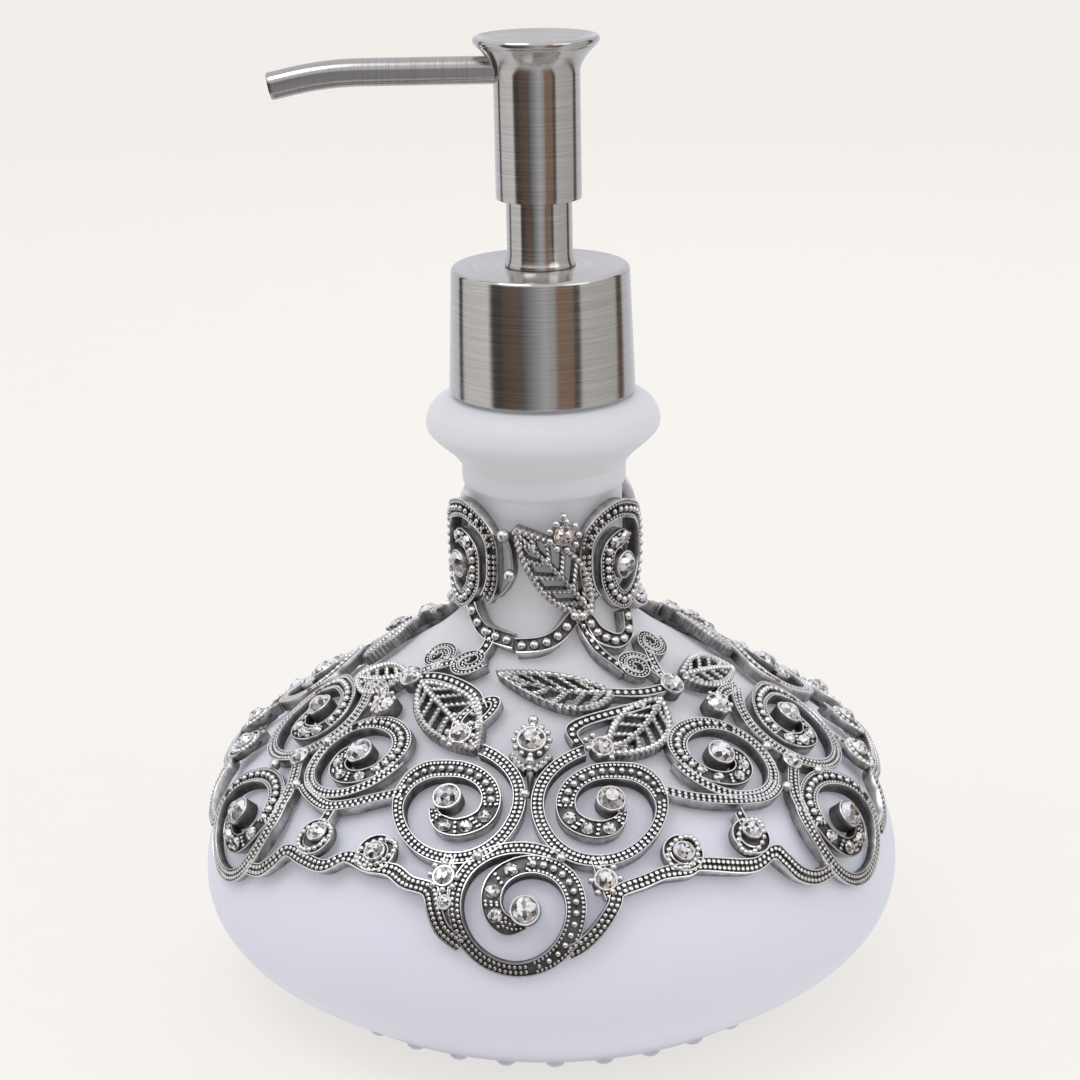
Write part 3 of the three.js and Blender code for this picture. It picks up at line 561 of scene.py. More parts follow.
def rhinestone_material(name):
    """Foil-backed crystal with painted reflections: each facet gets its own painted glint brightness, a few
    with painted orange or blue fire.
    """
    m = Finish(name)
    facet = m.node("Attribute", attribute_name="facet").outputs["Fac"]
    glint = m.noise(m.object_coords(), 1500.0, 1.0)
    shade = m.math("MULTIPLY_ADD", m.math("SUBTRACT", glint, 0.5), 0.35, facet)
    # Painted reflections: the facet's glint strength, broken up by noise, picks a dark, grey, white or fiery
    # colour.
    colour = m.ramp(shade, [
        (0.0, (0.10, 0.095, 0.09)), (0.16, (0.34, 0.33, 0.33)), (0.3, (0.95, 0.95, 0.95)),
        (0.45, (0.62, 0.62, 0.64)), (0.6, (1.0, 1.0, 1.0)), (0.8, (0.9, 0.89, 0.88)),
        (0.9, (1.0, 0.72, 0.52)), (0.95, (0.7, 0.78, 1.0)), (1.0, (1.0, 1.0, 1.0)),
    ], "CONSTANT")
    m.set(Base_Color=colour, Metallic=0.75, Roughness=0.09, Coat_Weight=1.0, Coat_Roughness=0.03)
    return m.material


def plastic_material(name, colour, roughness=0.42):
    """Moulded plastic or rubber with a faint mottled skin."""
    m = Finish(name)
    where = m.object_coords()
    mottle = m.noise(where, 260.0, 3.0)
    skin = m.noise(where, 3800.0, 2.0)
    shade = m.ramp(mottle, [(0.3, tint(colour, 0.94)), (0.7, colour)])
    m.set(Base_Color=shade, Roughness=roughness, Normal=m.bump(skin, 0.15, 0.00003))
    return m.material


PEWTER = pewter_material("antique_pewter")
STEEL = brushed_material("brushed_steel")
# The spout is the head's steel with its base colour darkened as painted shade; its brush lines run along the
# tube.
SHADED_SPOUT_STEEL = brushed_material("brushed_steel_spout_shaded", along_x=True, base=(0.47, 0.455, 0.44))
GLASS = glass_material("frosted_glass")
RHINESTONE = rhinestone_material("clear_crystal")
WHITE_PLASTIC = plastic_material("white_plastic", (0.80, 0.80, 0.78))
SEAL_PLASTIC = plastic_material("seal_plastic", (0.66, 0.66, 0.63), 0.5)
RUBBER = plastic_material("gasket_rubber", (0.035, 0.035, 0.037), 0.7)


# ---- Scrolls, cups and stones ----
LINE_STEP = 0.45
THIN_BAND = 2.5
BEADED_ARM = 3.7
CUP_R = 2.75
STONE_R = 2.3
STONE_LIFT = 0.62
DISC_R = 3.9

# A scroll is a spiral of [angle, radius] keys wound inwards. Its outer turn carries a double row
# of fine beads, then single balls that grow, then small stones, and it ends at the eye's cup.
UPPER = {
    "keys": [[107, 12.6], [150, 12.4], [205, 11], [260, 11.2], [310, 12], [345, 12], [370, 10.7],
             [400, 8.8], [435, 7.3], [500, 7.2], [550, 6.2], [600, 5], [660, 5.1], [700, 4.6]],
    "thin": 2.5, "widen": (332, 403), "balls": (362, 536), "stones": (560, 603, 650), "eye": (25, 1.9),
}
LOWER = {
    "keys": [[56, 10.7], [150, 10.6], [240, 10.9], [300, 10.8], [345, 10.2], [390, 9.3], [431, 7.9],
             [475, 6.1], [520, 4.7], [570, 4], [616, 3.7], [650, 3.5]],
    "thin": 2.5, "widen": (262, 333), "balls": (286, 440), "stones": (462, 511, 566), "eye": (-30, 1.6),
}
NECK = {
    "keys": [[0, 11], [45, 10.3], [76, 11.2], [94, 11.1], [122, 10.6], [151, 9.8], [183, 10.1],
             [225, 9.9], [270, 9.7], [300, 9.6], [317, 9.4], [336, 8], [357, 6.6], [388, 5.2],
             [433, 5], [489, 4.2], [530, 3.8]],
    "thin": 2.8, "widen": (60, 130), "balls": (64, 440), "stones": (456, 500), "eye": None,
}


class Scroll:
    """One scroll in a flat layout, turned, scaled and perhaps mirrored about its centre."""

    def __init__(self, kind, x, y, turn, size, mirror):
        self.kind, self.x, self.y, self.turn, self.size = kind, x, y, turn, size
        self.hand = -1 if mirror else 1
        keys = np.array(kind["keys"], float)
        dense = catmull(keys, np.linspace(0, 1, 60 * len(keys)))
        self.angles, self.radii = dense[:, 0], dense[:, 1]

    def at(self, angle, radius=None):
        radius = np.interp(angle, self.angles, self.radii) if radius is None else radius
        a = np.radians(np.asarray(angle, float) + self.turn)
        x = self.x + self.hand * radius * self.size * np.cos(a)
        return np.stack([x, self.y + radius * self.size * np.sin(a)], -1)

    def line(self, low, high):
        low, high = max(low, self.angles[0]), min(high, self.angles[-1])
        return resampled(self.at(np.linspace(low, high, int((high - low) / 2) + 3)), LINE_STEP)

    def width(self, angle):
        thin, full = self.kind["thin"], BEADED_ARM
        wide = thin + (full - thin) * smoothstep(angle, *self.kind["widen"])
        end = self.angles[-1]
        return wide * (0.5 + 0.5 * self.size) * (1 - 0.5 * smoothstep(angle, end - 50, end))

    def eye(self):
        if self.kind["eye"] is None:
            return self.x + self.hand * 0.4, self.y - 1.5
        return tuple(self.at(*self.kind["eye"]))

    def build(self, work):
        """Makes the scroll and its empty cup, and returns the cup's centre."""
        angles = np.linspace(self.angles[0], self.angles[-1], 900)
        line = self.at(angles)
        along = lengths(line)
        at = np.linspace(0, along[-1], int(along[-1] / 0.5) + 1)
        even = np.interp(at, along, angles)
        band(work, self.at(even), self.width(even), shaded=self.hand)
        low, high = self.kind["balls"]
        double_row(work, self.line(self.angles[0] + 3, low - 5), self.kind["thin"])
        arm_angles = np.linspace(low, high, 120)
        arm = self.at(arm_angles)
        reach = self.width(arm_angles) / 2 - RIM - 0.34
        for side in (-1, 1):
            bead_row(work, arm, side * reach, [0.36, 0.33], 0.8, CHANNEL + 0.26)
        bead_row(work, arm, 0.0, [0.52, 0.84], 1.86 * self.size, CHANNEL + 0.42)
        tail_from, tail_to = self.kind["stones"][-1] + 26, self.angles[-1] - 4
        if tail_to > tail_from + 10:
            for side in (-0.42, 0.42):
                bead_row(work, self.line(tail_from, tail_to), side, [0.34, 0.26], 0.75, CHANNEL + 0.3)
        for angle in self.kind["stones"]:
            x, y = self.at(angle)
            work.stone(x, y, 1.3 * self.size, -0.2, tall=0.6)
            for step in (-24, 24):
                radius = float(np.interp(angle + step, self.angles, self.radii))
                for side in (-0.95, 0, 0.95):
                    p = self.at(angle + step, radius + side)
                    bead(work, *p, 0.36, CHANNEL + 0.34, fine=False)
        x, y = self.eye()
        cup(work, x, y, CUP_R)
        return x, y


def chaton(work, x, y, radius, points=0):
    """A small round setting; with points it is a star of balls."""
    cup(work, x, y, radius, top=0.45, wall=0.4)
    work.stone(x, y, radius - 0.35, 0.35)
    if points:
        bead_ring(work, x, y, radius + 0.4, points, 0.66, 0.05)


def rosette(work, x, y, lift):
    """A round disc with a ring of beads and a cup-set stone, lift mm above its middle."""
    edge = [(0, -1.6), (0, -0.15), (0.1, 0), (0.34, 0), (0.42, CHANNEL), (1.35, CHANNEL), (1.42, -0.1),
            (1.62, 0), (1.8, -0.3)]
    profile = [[0, -1.6], *[[DISC_R - inset, height] for inset, height in edge], [0, -0.3]]
    work.lathe(*work.patch.frame(x, y), profile, 32, [0, 0.1, 0.6, 1, 1, 0, 0, 0.7, 1, 0.1, 0.1])
    bead_ring(work, x, y, DISC_R - 0.88, 18, 0.6, CHANNEL + 0.42)
    cup(work, x, y + lift, 2.05, top=0.75, wall=0.34, back=-1.0)
    work.stone(x, y + lift, 1.74, 0.58)


def curl(work, x, y, radius, hand):
    """A tendril's end: a tight spiral strap with a row of beads."""
    t = np.linspace(0, 1, 90)
    angle = hand * t * TAU * 1.7
    spiral = np.stack([x + radius * (1 - 0.78 * t) * np.cos(angle),
                       y + radius * (1 - 0.78 * t) * np.sin(angle)], 1)
    line = resampled(spiral, 0.35)
    band(work, line, 1.45)
    bead_row(work, line, 0.0, [0.3, 0.26], 0.72, CHANNEL + 0.26)


def leaf(work, x, y, length, width, heading, bend, veins):
    """A pierced leaf of twisted ropes: two edges, a midrib and slanting veins."""
    a = math.radians(heading)
    ahead, left = np.array([math.cos(a), math.sin(a)]), np.array([-math.sin(a), math.cos(a)])
    base = np.array([x, y])

    def at(t, side):
        t = np.asarray(t, float)
        half = width / 2 * np.sin(np.pi * np.clip(t, 0, 1) ** 0.85) ** 0.9
        across = side * half + bend * np.sin(np.pi * t)
        return base + np.multiply.outer(length * t, ahead) + np.multiply.outer(across, left)

    t = np.linspace(0, 1, 60)
    for side in (-1, 1):
        rope(work, at(t, side * 0.92), 0.68, 0.05, hand=side)
        for k in range(veins):
            t0 = (k + 0.55) / (veins + 1.1)
            t1 = min(t0 + 0.42 * width / length, 0.97)
            u = np.linspace(0, 1, 9)
            inner, outer = (at(t0 + (t1 - t0) * u, across) for across in (0, side * 0.9))
            rope(work, inner * (1 - u[:, None]) + outer * u[:, None], 0.5, -0.15, pitch=1.0, hand=side)
    rope(work, at(np.linspace(0, 0.97, 50), 0), 0.62, 0.12, taper=0.35)


# ---- The filigree's rows ----
ROW_ARC = 70
# A trio's scrolls as (kind, x, y, turn, size, mirror).
FRONT_TRIO = [(UPPER, -12.6, 6.1, 0, 1, True), (UPPER, 14.1, 6.1, 0, 1, False),
              (LOWER, 0.1, -13.3, 0, 1.05, False)]
RIGHT_TRIO = [(LOWER, -13.4, 9.8, 110, 0.86, False), (UPPER, 11.4, 8.4, 0, 1, False),
              (LOWER, -1.2, -12.8, 80, 1.02, False)]
BACK_TRIO = [(kind, x, y, turn, 0.96, mirror) for kind, x, y, turn, _, mirror in FRONT_TRIO]


def mirrored(trio):
    return [(kind, -x, y, turn, size, not mirror) for kind, x, y, turn, size, mirror in trio]


LEFT_TRIO = mirrored(RIGHT_TRIO)
LEFT_TRIO[1] = (UPPER, -8.8, 11.6, 0, 1, True)
# Each trio's azimuth in degrees, scrolls and joints, from the front round to the right.
TRIOS = [(-5.5, FRONT_TRIO, "front"), (59.5, RIGHT_TRIO, "right"), (118, LEFT_TRIO, "left"),
         (177, BACK_TRIO, "front"), (235.5, RIGHT_TRIO, "right"), (294, LEFT_TRIO, "left")]
# The strap from a side trio's near scroll to the front or back trio beside it, by trio number.
LINKS = {
    2: [[-30.1, 7.4], [-26.2, 4.4], [-19.7, 1.4], [-13.4, -0.2], [-8.5, 0.8]],
    3: [[25.5, 4], [19.2, 0], [13.4, -0.2], [8.5, 0.8]],
    5: [[-25.3, 4], [-19.7, 1.4], [-13.4, -0.2], [-8.5, 0.8]],
    6: [[29.6, 6.4], [27.6, 5], [25, 3], [23, 1.2], [18.8, -1.1], [13.4, -0.8], [8.5, 0.4]],
}
# A side trio's junction stone and claw-set stone, and the straps and solder balls that join them.
SIDE_JOINTS = {
    "right": {"junction": (-0.3, 2.9), "claw": (-2.9, 20.1), "strap": [[-1, 20.6], [3, 21.6], [7.9, 20.3]],
              "arm": [[-1.4, 1.8], [-4.8, -0.4], [-7.6, -3], [-9.3, -6]],
              "solder": [(-2.2, 8), (-7.6, -0.6), (3.4, -1.8)]},
    "left": {"junction": (0.9, 3.8), "claw": (6.8, 21.7), "strap": [[6, 21.5], [1, 24.4], [-5.2, 23.5]],
             "arm": [[2, 2.6], [5.2, 0], [7.8, -3], [9.3, -6]],
             "solder": [(3.4, 9.5), (7.6, -0.6), (-3.6, -0.8)]},
}


def strap(work, points, width=THIN_BAND, rows=2):
    """A smooth beaded strap through a few points."""
    line = smooth_line(points, LINE_STEP)
    band(work, line, width)
    if rows == 2:
        double_row(work, line, width)
    else:
        bead_row(work, line, 0.0, [width / 2 - RIM - 0.2] * 2, width - 2 * RIM - 0.1, CHANNEL + 0.32)


def front_joints(work):
    """The crown between the upper scrolls and the small settings under them."""
    cup(work, 0.5, 20.5, 2.8, top=0.85)
    work.stone(0.5, 20.5, 2.4, 0.7)
    bead_ring(work, 0.5, 20.5, 3.25, 12, 0.62, 0.1)
    for y, r in ((24.9, 1.05), (23.7, 0.75), (16.0, 0.95), (14.4, 0.7)):
        bead(work, 0.5, y, r, 0.2)
    for side in (-1, 1):
        petal = smooth_line([[0.5 + side * 0.6, 14.6], [0.5 + side * 2.2, 15.7], [0.5 + side * 3.7, 17.6]])
        rope(work, petal, 0.85, 0.0, taper=0.4, hand=side)
    spike = smooth_line([[0.5, 15.6], [0.7, 12.5], [0.8, 9.5]])
    half = np.linspace(1.0, 0.25, len(spike))[:, None]
    sweep(work, spike, half * np.array([-1, -0.8, 0, 0.8, 1]), [BACK, -0.5, 0.1, -0.5, BACK],
          [0.1, 0.5, 1, 0.5, 0.1])
    chaton(work, -13.4, -9.0, 2.1, points=8)
    chaton(work, 15.6, -9.2, 2.2, points=6)
    chaton(work, -13.0, -13.6, 1.4)
    strap(work, [[-12.6, -4.6], [-13.2, -9], [-13.6, -14.4]], 2.2)
    strap(work, [[13.6, -4.4], [15.0, -8.4], [16.8, -12.4]], 2.2)
    for x, y, r in ((0.0, 9.0, 1.0), (7.4, -4.4, 1.0), (-7.6, -4.4, 1.0)):
        bead(work, x, y, r, 0.0)


def side_joints(work, joints):
    """A side trio's junction stone, its claw-set stone and the balls where the scrolls meet."""
    chaton(work, *joints["junction"], 2.1)
    strap(work, joints["strap"])
    strap(work, joints["arm"])
    x, y = joints["claw"]
    cup(work, x, y, 2.6, top=0.95, wall=0.4)
    work.stone(x, y, 2.25, 0.72)
    bead_ring(work, x, y, 2.45, 8, 0.5, 0.95)
    for x, y in joints["solder"]:
        bead(work, x, y, 1.1, -0.1)


def trio(number, azimuth, scrolls, layout):
    work = Casting(azimuth, ROW_ARC)
    for k, scroll in enumerate(scrolls):
        eye = Scroll(*scroll).build(work)
        work.gem(*eye, f"scroll_crystal_{3 * number - 2 + k:02d}")
    if layout == "front":
        front_joints(work)
    else:
        side_joints(work, SIDE_JOINTS[layout])
        strap(work, LINKS[number])
    work.finish(f"scroll_trio_{number}")


for number, (azimuth, scrolls, layout) in enumerate(TRIOS, 1):
    trio(number, azimuth, scrolls, layout)


def face_x(azimuth, s):
    """Millimetres of arc that an azimuth spans at arc length s."""
    return math.radians(azimuth) * float(np.interp(s, FACE_S, FACE[:, 0]))


# A swag's points beside a trio as [azimuth from its axis, arc length], from left to right, with
# the middles of its rosettes and the upper ends of the struts that hold them.
EDGES = {
    "front": {
        "left": [[-30.4, 79], [-25.6, 79.6], [-21.4, 79.4], [-18.1, 81], [-14.1, 81.8], [-12.8, 85],
                 [-11.4, 88.2], [-9.7, 89.8], [-8.2, 90.8]],
        "right": [[7.8, 91.7], [9.4, 90.8], [11.2, 89.2], [13, 87], [15, 83.9], [16.2, 81.4], [20.7, 80.1],
                  [24.2, 79.2], [28.4, 79.4], [31, 79]],
        "discs": ([-25.6, 76.8], [28.4, 76]), "strut": None,
    },
    "side": {
        "left": [[-25.4, 81.7], [-20.4, 80.7], [-18.9, 82.9], [-16.9, 86.3], [-13.5, 88.3], [-9.4, 88.4]],
        "right": [[9, 89], [12.6, 88], [15.3, 85.2], [17.6, 82], [22, 82.2], [26.4, 82]],
        "discs": ([-22.9, 76.4], [21.5, 77.6]), "strut": ([-22.0, 70.8], [20.6, 71.8]),
    },
}


def swag(number, azimuth, edge, following, next_edge):
    """The scalloped strap under the scrolls, from one trio to the next, with two rosettes."""
    span = (following - azimuth) % 360
    work = Casting(azimuth, ROW_ARC)

    def flat(place, onward=0.0):
        return [face_x(place[0] + onward, place[1]), ROW_ARC - place[1]]

    points = [flat(place) for place in edge["right"]] + [flat(place, span) for place in next_edge["left"]]
    strap(work, points, 2.7)
    for side, onward, source in ((1, 0.0, edge), (0, span, next_edge)):
        centre = flat(source["discs"][side], onward)
        if source["strut"]:
            strap(work, [flat(source["strut"][side], onward), centre], 2.0, rows=1)
        rosette(work, *centre, lift=0.9 if source["strut"] else 0.0)
    work.finish(f"lower_swag_{number}")


def edge_of(layout):
    return EDGES["front" if layout == "front" else "side"]


for number, (azimuth, _, layout) in enumerate(TRIOS, 1):
    following, _, next_layout = TRIOS[number % len(TRIOS)]
    swag(number, azimuth, edge_of(layout), following, edge_of(next_layout))

SPRAY_ARC = 42
# Leaves are (x, y, length, width, heading), curls (x, y, hand), and a loop (x, y, half sizes).
LONG_SPRAY = {
    "leaves": [(-12.2, 2.2, 19, 9.0, 164), (-4.2, -1.8, 20.5, 8.8, 206.5), (5.0, 1.0, 18.5, 7.6, 340)],
    "curls": [(-3.3, 6.6, 1), (4.8, 10.2, -1)],
    "straps": [[[0.6, 0], [-6.5, 0.6], [-13.4, 2.4]], [[-8.8, 19.6], [-7.8, 15], [-7.2, 10.5], [-6.2, 6]],
               [[-26.2, -8.4], [-25.4, -5.4], [-21.5, -3.5], [-15, -2.4], [-8, -2]]],
    "stones": [(-22.6, -9.6)], "middle": (0.3, 0.2), "loop": None,
}
SHORT_SPRAY = {
    "leaves": [(3.6, 1.4, 25.5, 9.4, 334), (-2.2, 1.2, 16.5, 7.6, 207)],
    "curls": [(8.6, 9.0, -1), (1.0, 7.8, 1)],
    "straps": [[[0.6, 1], [5, 3.4], [10.5, 3.6], [16, 2.0], [20.5, -1.4]], [[7.6, 16.4], [8.6, 14], [9, 11]]],
    "stones": [(21.4, -7.4)], "middle": (0.3, 1.4), "loop": (20.4, -2.6, 2.3, 3.9),
}
SPRAYS = [(-57, SHORT_SPRAY), (46, LONG_SPRAY), (125.5, SHORT_SPRAY), (228.5, LONG_SPRAY)]


def tendril(work, line, width):
    """A narrow strap with one row of small beads."""
    band(work, line, width)
    bead_row(work, line, 0.0, [0.4] * 2, 0.9, CHANNEL + 0.28)


def spray(number, azimuth, layout):
    work = Casting(azimuth, SPRAY_ARC)
    for x, y, length, width, heading in layout["leaves"]:
        leaf(work, x, y, length, width, heading, bend=0.8, veins=max(4, round(length / 4.2)))
    for points in layout["straps"]:
        strap(work, points, 2.1, rows=1)
    for x, y, hand in layout["curls"]:
        stem = smooth_line([[0, 0.5], [x * 0.3 + hand, y * 0.45], [x + hand * 2.6, y - 1.2]])
        tendril(work, stem, 1.9)
        curl(work, x, y, 3.4, hand)
    if layout["loop"]:
        x, y, wide, tall = layout["loop"]
        a = np.linspace(0.3, TAU + 0.3, 60)
        tendril(work, resampled(np.stack([x + wide * np.cos(a), y + tall * np.sin(a)], 1), 0.4), 1.7)
    for x, y in layout["stones"]:
        chaton(work, x, y, 2.2, points=8)
    chaton(work, *layout["middle"], 2.5)
    work.finish(f"leaf_spray_{number}")


for number, (azimuth, layout) in enumerate(SPRAYS, 1):
    spray(number, azimuth, layout)

NECK_SECTORS = [-63, 54, 135, 216]
NECK_ARC = 13
NECK_TURN = -45
NECK_SIZE = 0.93
# The front's open loops, as [azimuth, arc length].
FRONT_LOOPS = [
    [[-52, 22], [-47, 24], [-37.9, 26.1], [-25.6, 26.9], [-19, 27.2]],
    [[19, 21.6], [14.5, 23.3], [6.5, 25.9], [-2.9, 27.4], [-17, 28]],
    [[19, 22], [24.9, 23.9], [30.2, 26.7], [40.1, 28.9], [50.1, 27.7], [55, 24]],
]


def neck_band():
    work = Casting(0, NECK_ARC)
    for i, azimuth in enumerate(NECK_SECTORS):
        work.patch = Patch(azimuth, NECK_ARC)
        eye = Scroll(NECK, 0, 0, NECK_TURN, NECK_SIZE, i % 2 == 1).build(work)
        work.gem(*eye, f"neck_crystal_{i + 1}")
        if i:
            width = face_x((NECK_SECTORS[(i + 1) % 4] - azimuth) % 360, 21)
            keys = [[3.4, -8], [6.6, -10.6], [11, -12], [width / 2, -12.4], [width - 11, -12],
                    [width - 6.6, -10.6], [width - 3.4, -8]]
            ordered = [key for k, key in enumerate(keys) if k == 0 or key[0] > keys[k - 1][0]]
            strap(work, ordered, 2.6, rows=1)
    work.patch = Patch(0, NECK_ARC)
    for loop in FRONT_LOOPS:
        points = [[face_x(azimuth, s), NECK_ARC - s] for azimuth, s in loop]
        strap(work, points, 3.0, rows=1)
    leaf(work, 8.9, -9.4, 22.6, 10, 131.5, bend=-0.6, veins=5)
    chaton(work, 3.5, 6.6, 2.0)
    bead_ring(work, 3.5, 6.6, 2.8, 9, 0.78, 0.15)
    bead(work, 3.5, 10.4, 0.8, 0.1)
    stalk = smooth_line([[-8.2, 6.4], [-6.9, 3], [-6.7, -1.4], [-8.2, -4.4], [-10.4, -6.6]])
    half = np.linspace(0.62, 0.4, len(stalk))[:, None]
    sweep(work, stalk, half * np.linspace(-1, 1, 7), [[BACK, -0.75, -0.35, -0.2, -0.35, -0.75, BACK]],
          [[0.3, 0.5, 0.8, 0.9, 0.8, 0.5, 0.3]])
    for x, y, r in ((-8.1, 6.4, 1.35), (-7.0, -1.3, 1.25)):
        bead(work, x, y, r, 0.1)
    work.finish("neck_filigree")


neck_band()


# ---- Turned parts: glass and steel ----
def arc(cx, cy, radius, start, end, steps):
    """Points of an arc from start to end degrees."""
    return [[cx + radius * math.cos(math.radians(a)), cy + radius * math.sin(math.radians(a))]
            for a in np.linspace(start, end, steps + 1)]


def turned(name, profile, segments, material, body, slot, node, extras=(), sharp=30):
    """A smooth turned part. Its profile starts and ends on the axis, or is a ring's loop."""
    collected = Body()
    profile = np.asarray(profile, float)
    if profile[0, 0] > 0:
        angle = np.linspace(0, TAU, segments, endpoint=False)
        n, m = segments, len(profile)
        r = profile[None, :, 0]
        points = np.stack([r * np.cos(angle)[:, None], r * np.sin(angle)[:, None],
                           np.broadcast_to(profile[None, :, 1], (n, m))], -1)
        faces = [[i * m + j, ((i + 1) % n) * m + j, ((i + 1) % n) * m + (j + 1) % m, i * m + (j + 1) % m]
                 for i in range(n) for j in range(m)]
        collected.shell(points, faces, PLAIN)
    else:
        collected.lathe(np.zeros(3), X, Y, Z, profile, segments)
    for extra in extras:
        extra(collected)
    piece = collected.make(name, material, body, slot, [node], sharp=sharp)
    outward(piece.data)


def swept(name, rings, material, body, slot, node):
    """A closed tube through rings of points."""
    collected = Body()
    collected.grid(rings)
    piece = collected.make(name, material, body, slot, [node])
    outward(piece.data)
    return piece


def outward(mesh):
    """Turns a closed mesh's faces out if they point in."""
    points = np.array([v.co for v in mesh.vertices])
    volume = 0.0
    for polygon in mesh.polygons:
        p = points[list(polygon.vertices)]
        for k in range(1, len(p) - 1):
            volume += np.dot(p[0], np.cross(p[k], p[k + 1]))
    if volume < 0:
        mesh.flip_normals()


GLASS_BODY = [
    [51.6, 1.6], [55.2, 4.4], [60.4, 8], [65.6, 12.4], [68.4, 17], [69.2, 22], [68.4, 28], [65.8, 34.3],
    [60.9, 41.4], [55.8, 45.5], [44.2, 53.1], [32.4, 60.8], [23.4, 66.8], [17.6, 72], [15.3, 78], [15, 85],
]
GLASS_BULGE = [[15.9, 103.6], [17.8, 105.9], [20.4, 108.2], [22.2, 110.2], [22.4, 112.2], [21.2, 114.7],
               [18.4, 116.5], [14.2, 116.9]]
GLASS_INSIDE = [[9.3, 119], [11.3, 110], [11.2, 86], [12.8, 75], [21.4, 65], [42.6, 50.8], [57.5, 40.8],
                [65, 29], [65.6, 19.5], [58.5, 10.5], [47, 6.6], [30, 6]]
LIP_Z = cad_box("glass_bottle")[1][2]
FINISH_R = 12.55
THREAD_Z = 124.6
THREAD_PITCH = 4.23
NUB_COUNT = 34
NUB_RING_R = 49.4


def nubs(body):
    """The ring of moulded glass teeth that the bottle stands on."""
    for i in range(NUB_COUNT):
        a = TAU * i / NUB_COUNT
        centre = np.array([NUB_RING_R * math.sin(a), -NUB_RING_R * math.cos(a), 0])
        right = np.array([math.cos(a), math.sin(a), 0])
        up = np.array([-math.sin(a), math.cos(a), 0])
        profile = [[0, 0], [0.9, 0], [1.5, 0.22], [1.95, 0.75], [2.2, 1.5], [2.35, 2.8], [0, 2.8]]
        body.lathe(centre, right, up, Z, profile, 18)


def thread(body):
    """The glass screw thread under the collar."""
    turns = np.linspace(0, 1.25, 90)
    fade = smoothstep(turns, 0, 0.08) * (1 - smoothstep(turns, 1.17, 1.25))
    a = turns * TAU
    section = np.array([[-0.3, -1.2], [1.2, -0.5], [1.2, 0.5], [-0.3, 1.2]])
    r = FINISH_R + section[:, 0] * (0.25 + 0.75 * fade[:, None])
    z = THREAD_Z + turns[:, None] * THREAD_PITCH + section[:, 1]
    body.grid(np.stack([r * np.cos(a)[:, None], r * np.sin(a)[:, None], z], -1))


def glass_bottle():
    t = np.linspace(0, 1, 90)
    outside = catmull(GLASS_BODY, t).tolist()
    neck = [[15, 92], [15, 98.7], [15.1, 98.95], [15.5, 99.35], [15.75, 100], [15.8, 101.5], [15.8, 103]]
    bulge = catmull(GLASS_BULGE, np.linspace(0, 1, 34)).tolist()
    lip = [[FINISH_R, 118], [FINISH_R, LIP_Z - 0.6], [11.95, LIP_Z], [9.8, LIP_Z], [9.3, LIP_Z - 0.5]]
    inside = catmull(GLASS_INSIDE, np.linspace(0, 1, 50)).tolist()
    profile = [[0, 2.5], [46, 1.6], *outside, *neck, *bulge, *lip, *inside, [0, 6.6]]
    turned("frosted_bottle", profile, 128, GLASS, "bottle", "frosted_glass", "glass_bottle",
           extras=(nubs, thread), sharp=50)


glass_bottle()

SHEET = 0.6
COLLAR_LOW, COLLAR_HIGH = cad_box("collar_shell")
COLLAR_R, COLLAR_Z0, COLLAR_Z1 = COLLAR_HIGH[0], COLLAR_LOW[2], COLLAR_HIGH[2]
COLLAR_TOP_R = COLLAR_R - 0.85
SLEEVE_LOW, SLEEVE_HIGH = cad_box("guide_sleeve")
SLEEVE_R = 6.2


def collar():
    edge = arc(COLLAR_TOP_R - 0.9, COLLAR_Z1 - 0.9, 0.9, 90, 2, 9)
    inner = COLLAR_TOP_R - SHEET
    profile = [[SLEEVE_R + 0.12, COLLAR_Z1 - SHEET], [SLEEVE_R + 0.12, COLLAR_Z1], *edge,
               [COLLAR_R, COLLAR_Z0 + 0.5], [COLLAR_R - 0.1, COLLAR_Z0 + 0.12], [COLLAR_R - 0.3, COLLAR_Z0],
               [COLLAR_R - SHEET, COLLAR_Z0 + 0.3], [inner, COLLAR_Z1 - SHEET]]
    turned("steel_collar", profile, 128, STEEL, "closure", "brushed_steel", "collar_shell")


def sleeve():
    foot, top = COLLAR_Z1 + 0.12, SLEEVE_HIGH[2]
    flare = [[SLEEVE_R + out, foot + up]
             for out, up in ((0.5, 0), (0.5, 0.35), (0.36, 0.7), (0.16, 1.2), (0.04, 1.8), (0, 2.4))]
    profile = [[SLEEVE_R - 0.5, SLEEVE_LOW[2]], [SLEEVE_R - 0.03, SLEEVE_LOW[2]],
               [SLEEVE_R - 0.03, foot], *flare, [SLEEVE_R, top - 0.2], [SLEEVE_R - 0.2, top],
               [SLEEVE_R - 0.5, top]]
    turned("steel_sleeve", profile, 96, STEEL, "closure", "brushed_steel", "guide_sleeve")


HEAD_LOW, HEAD_HIGH = cad_box("head_shell")
HEAD_TOP = HEAD_HIGH[2]
RIM_R = HEAD_HIGH[0]
HEAD_R = 8.05
SPOUT_Z = 177.8
FLARE_Z = 177.4
BORE_TOP_Z = 180.8


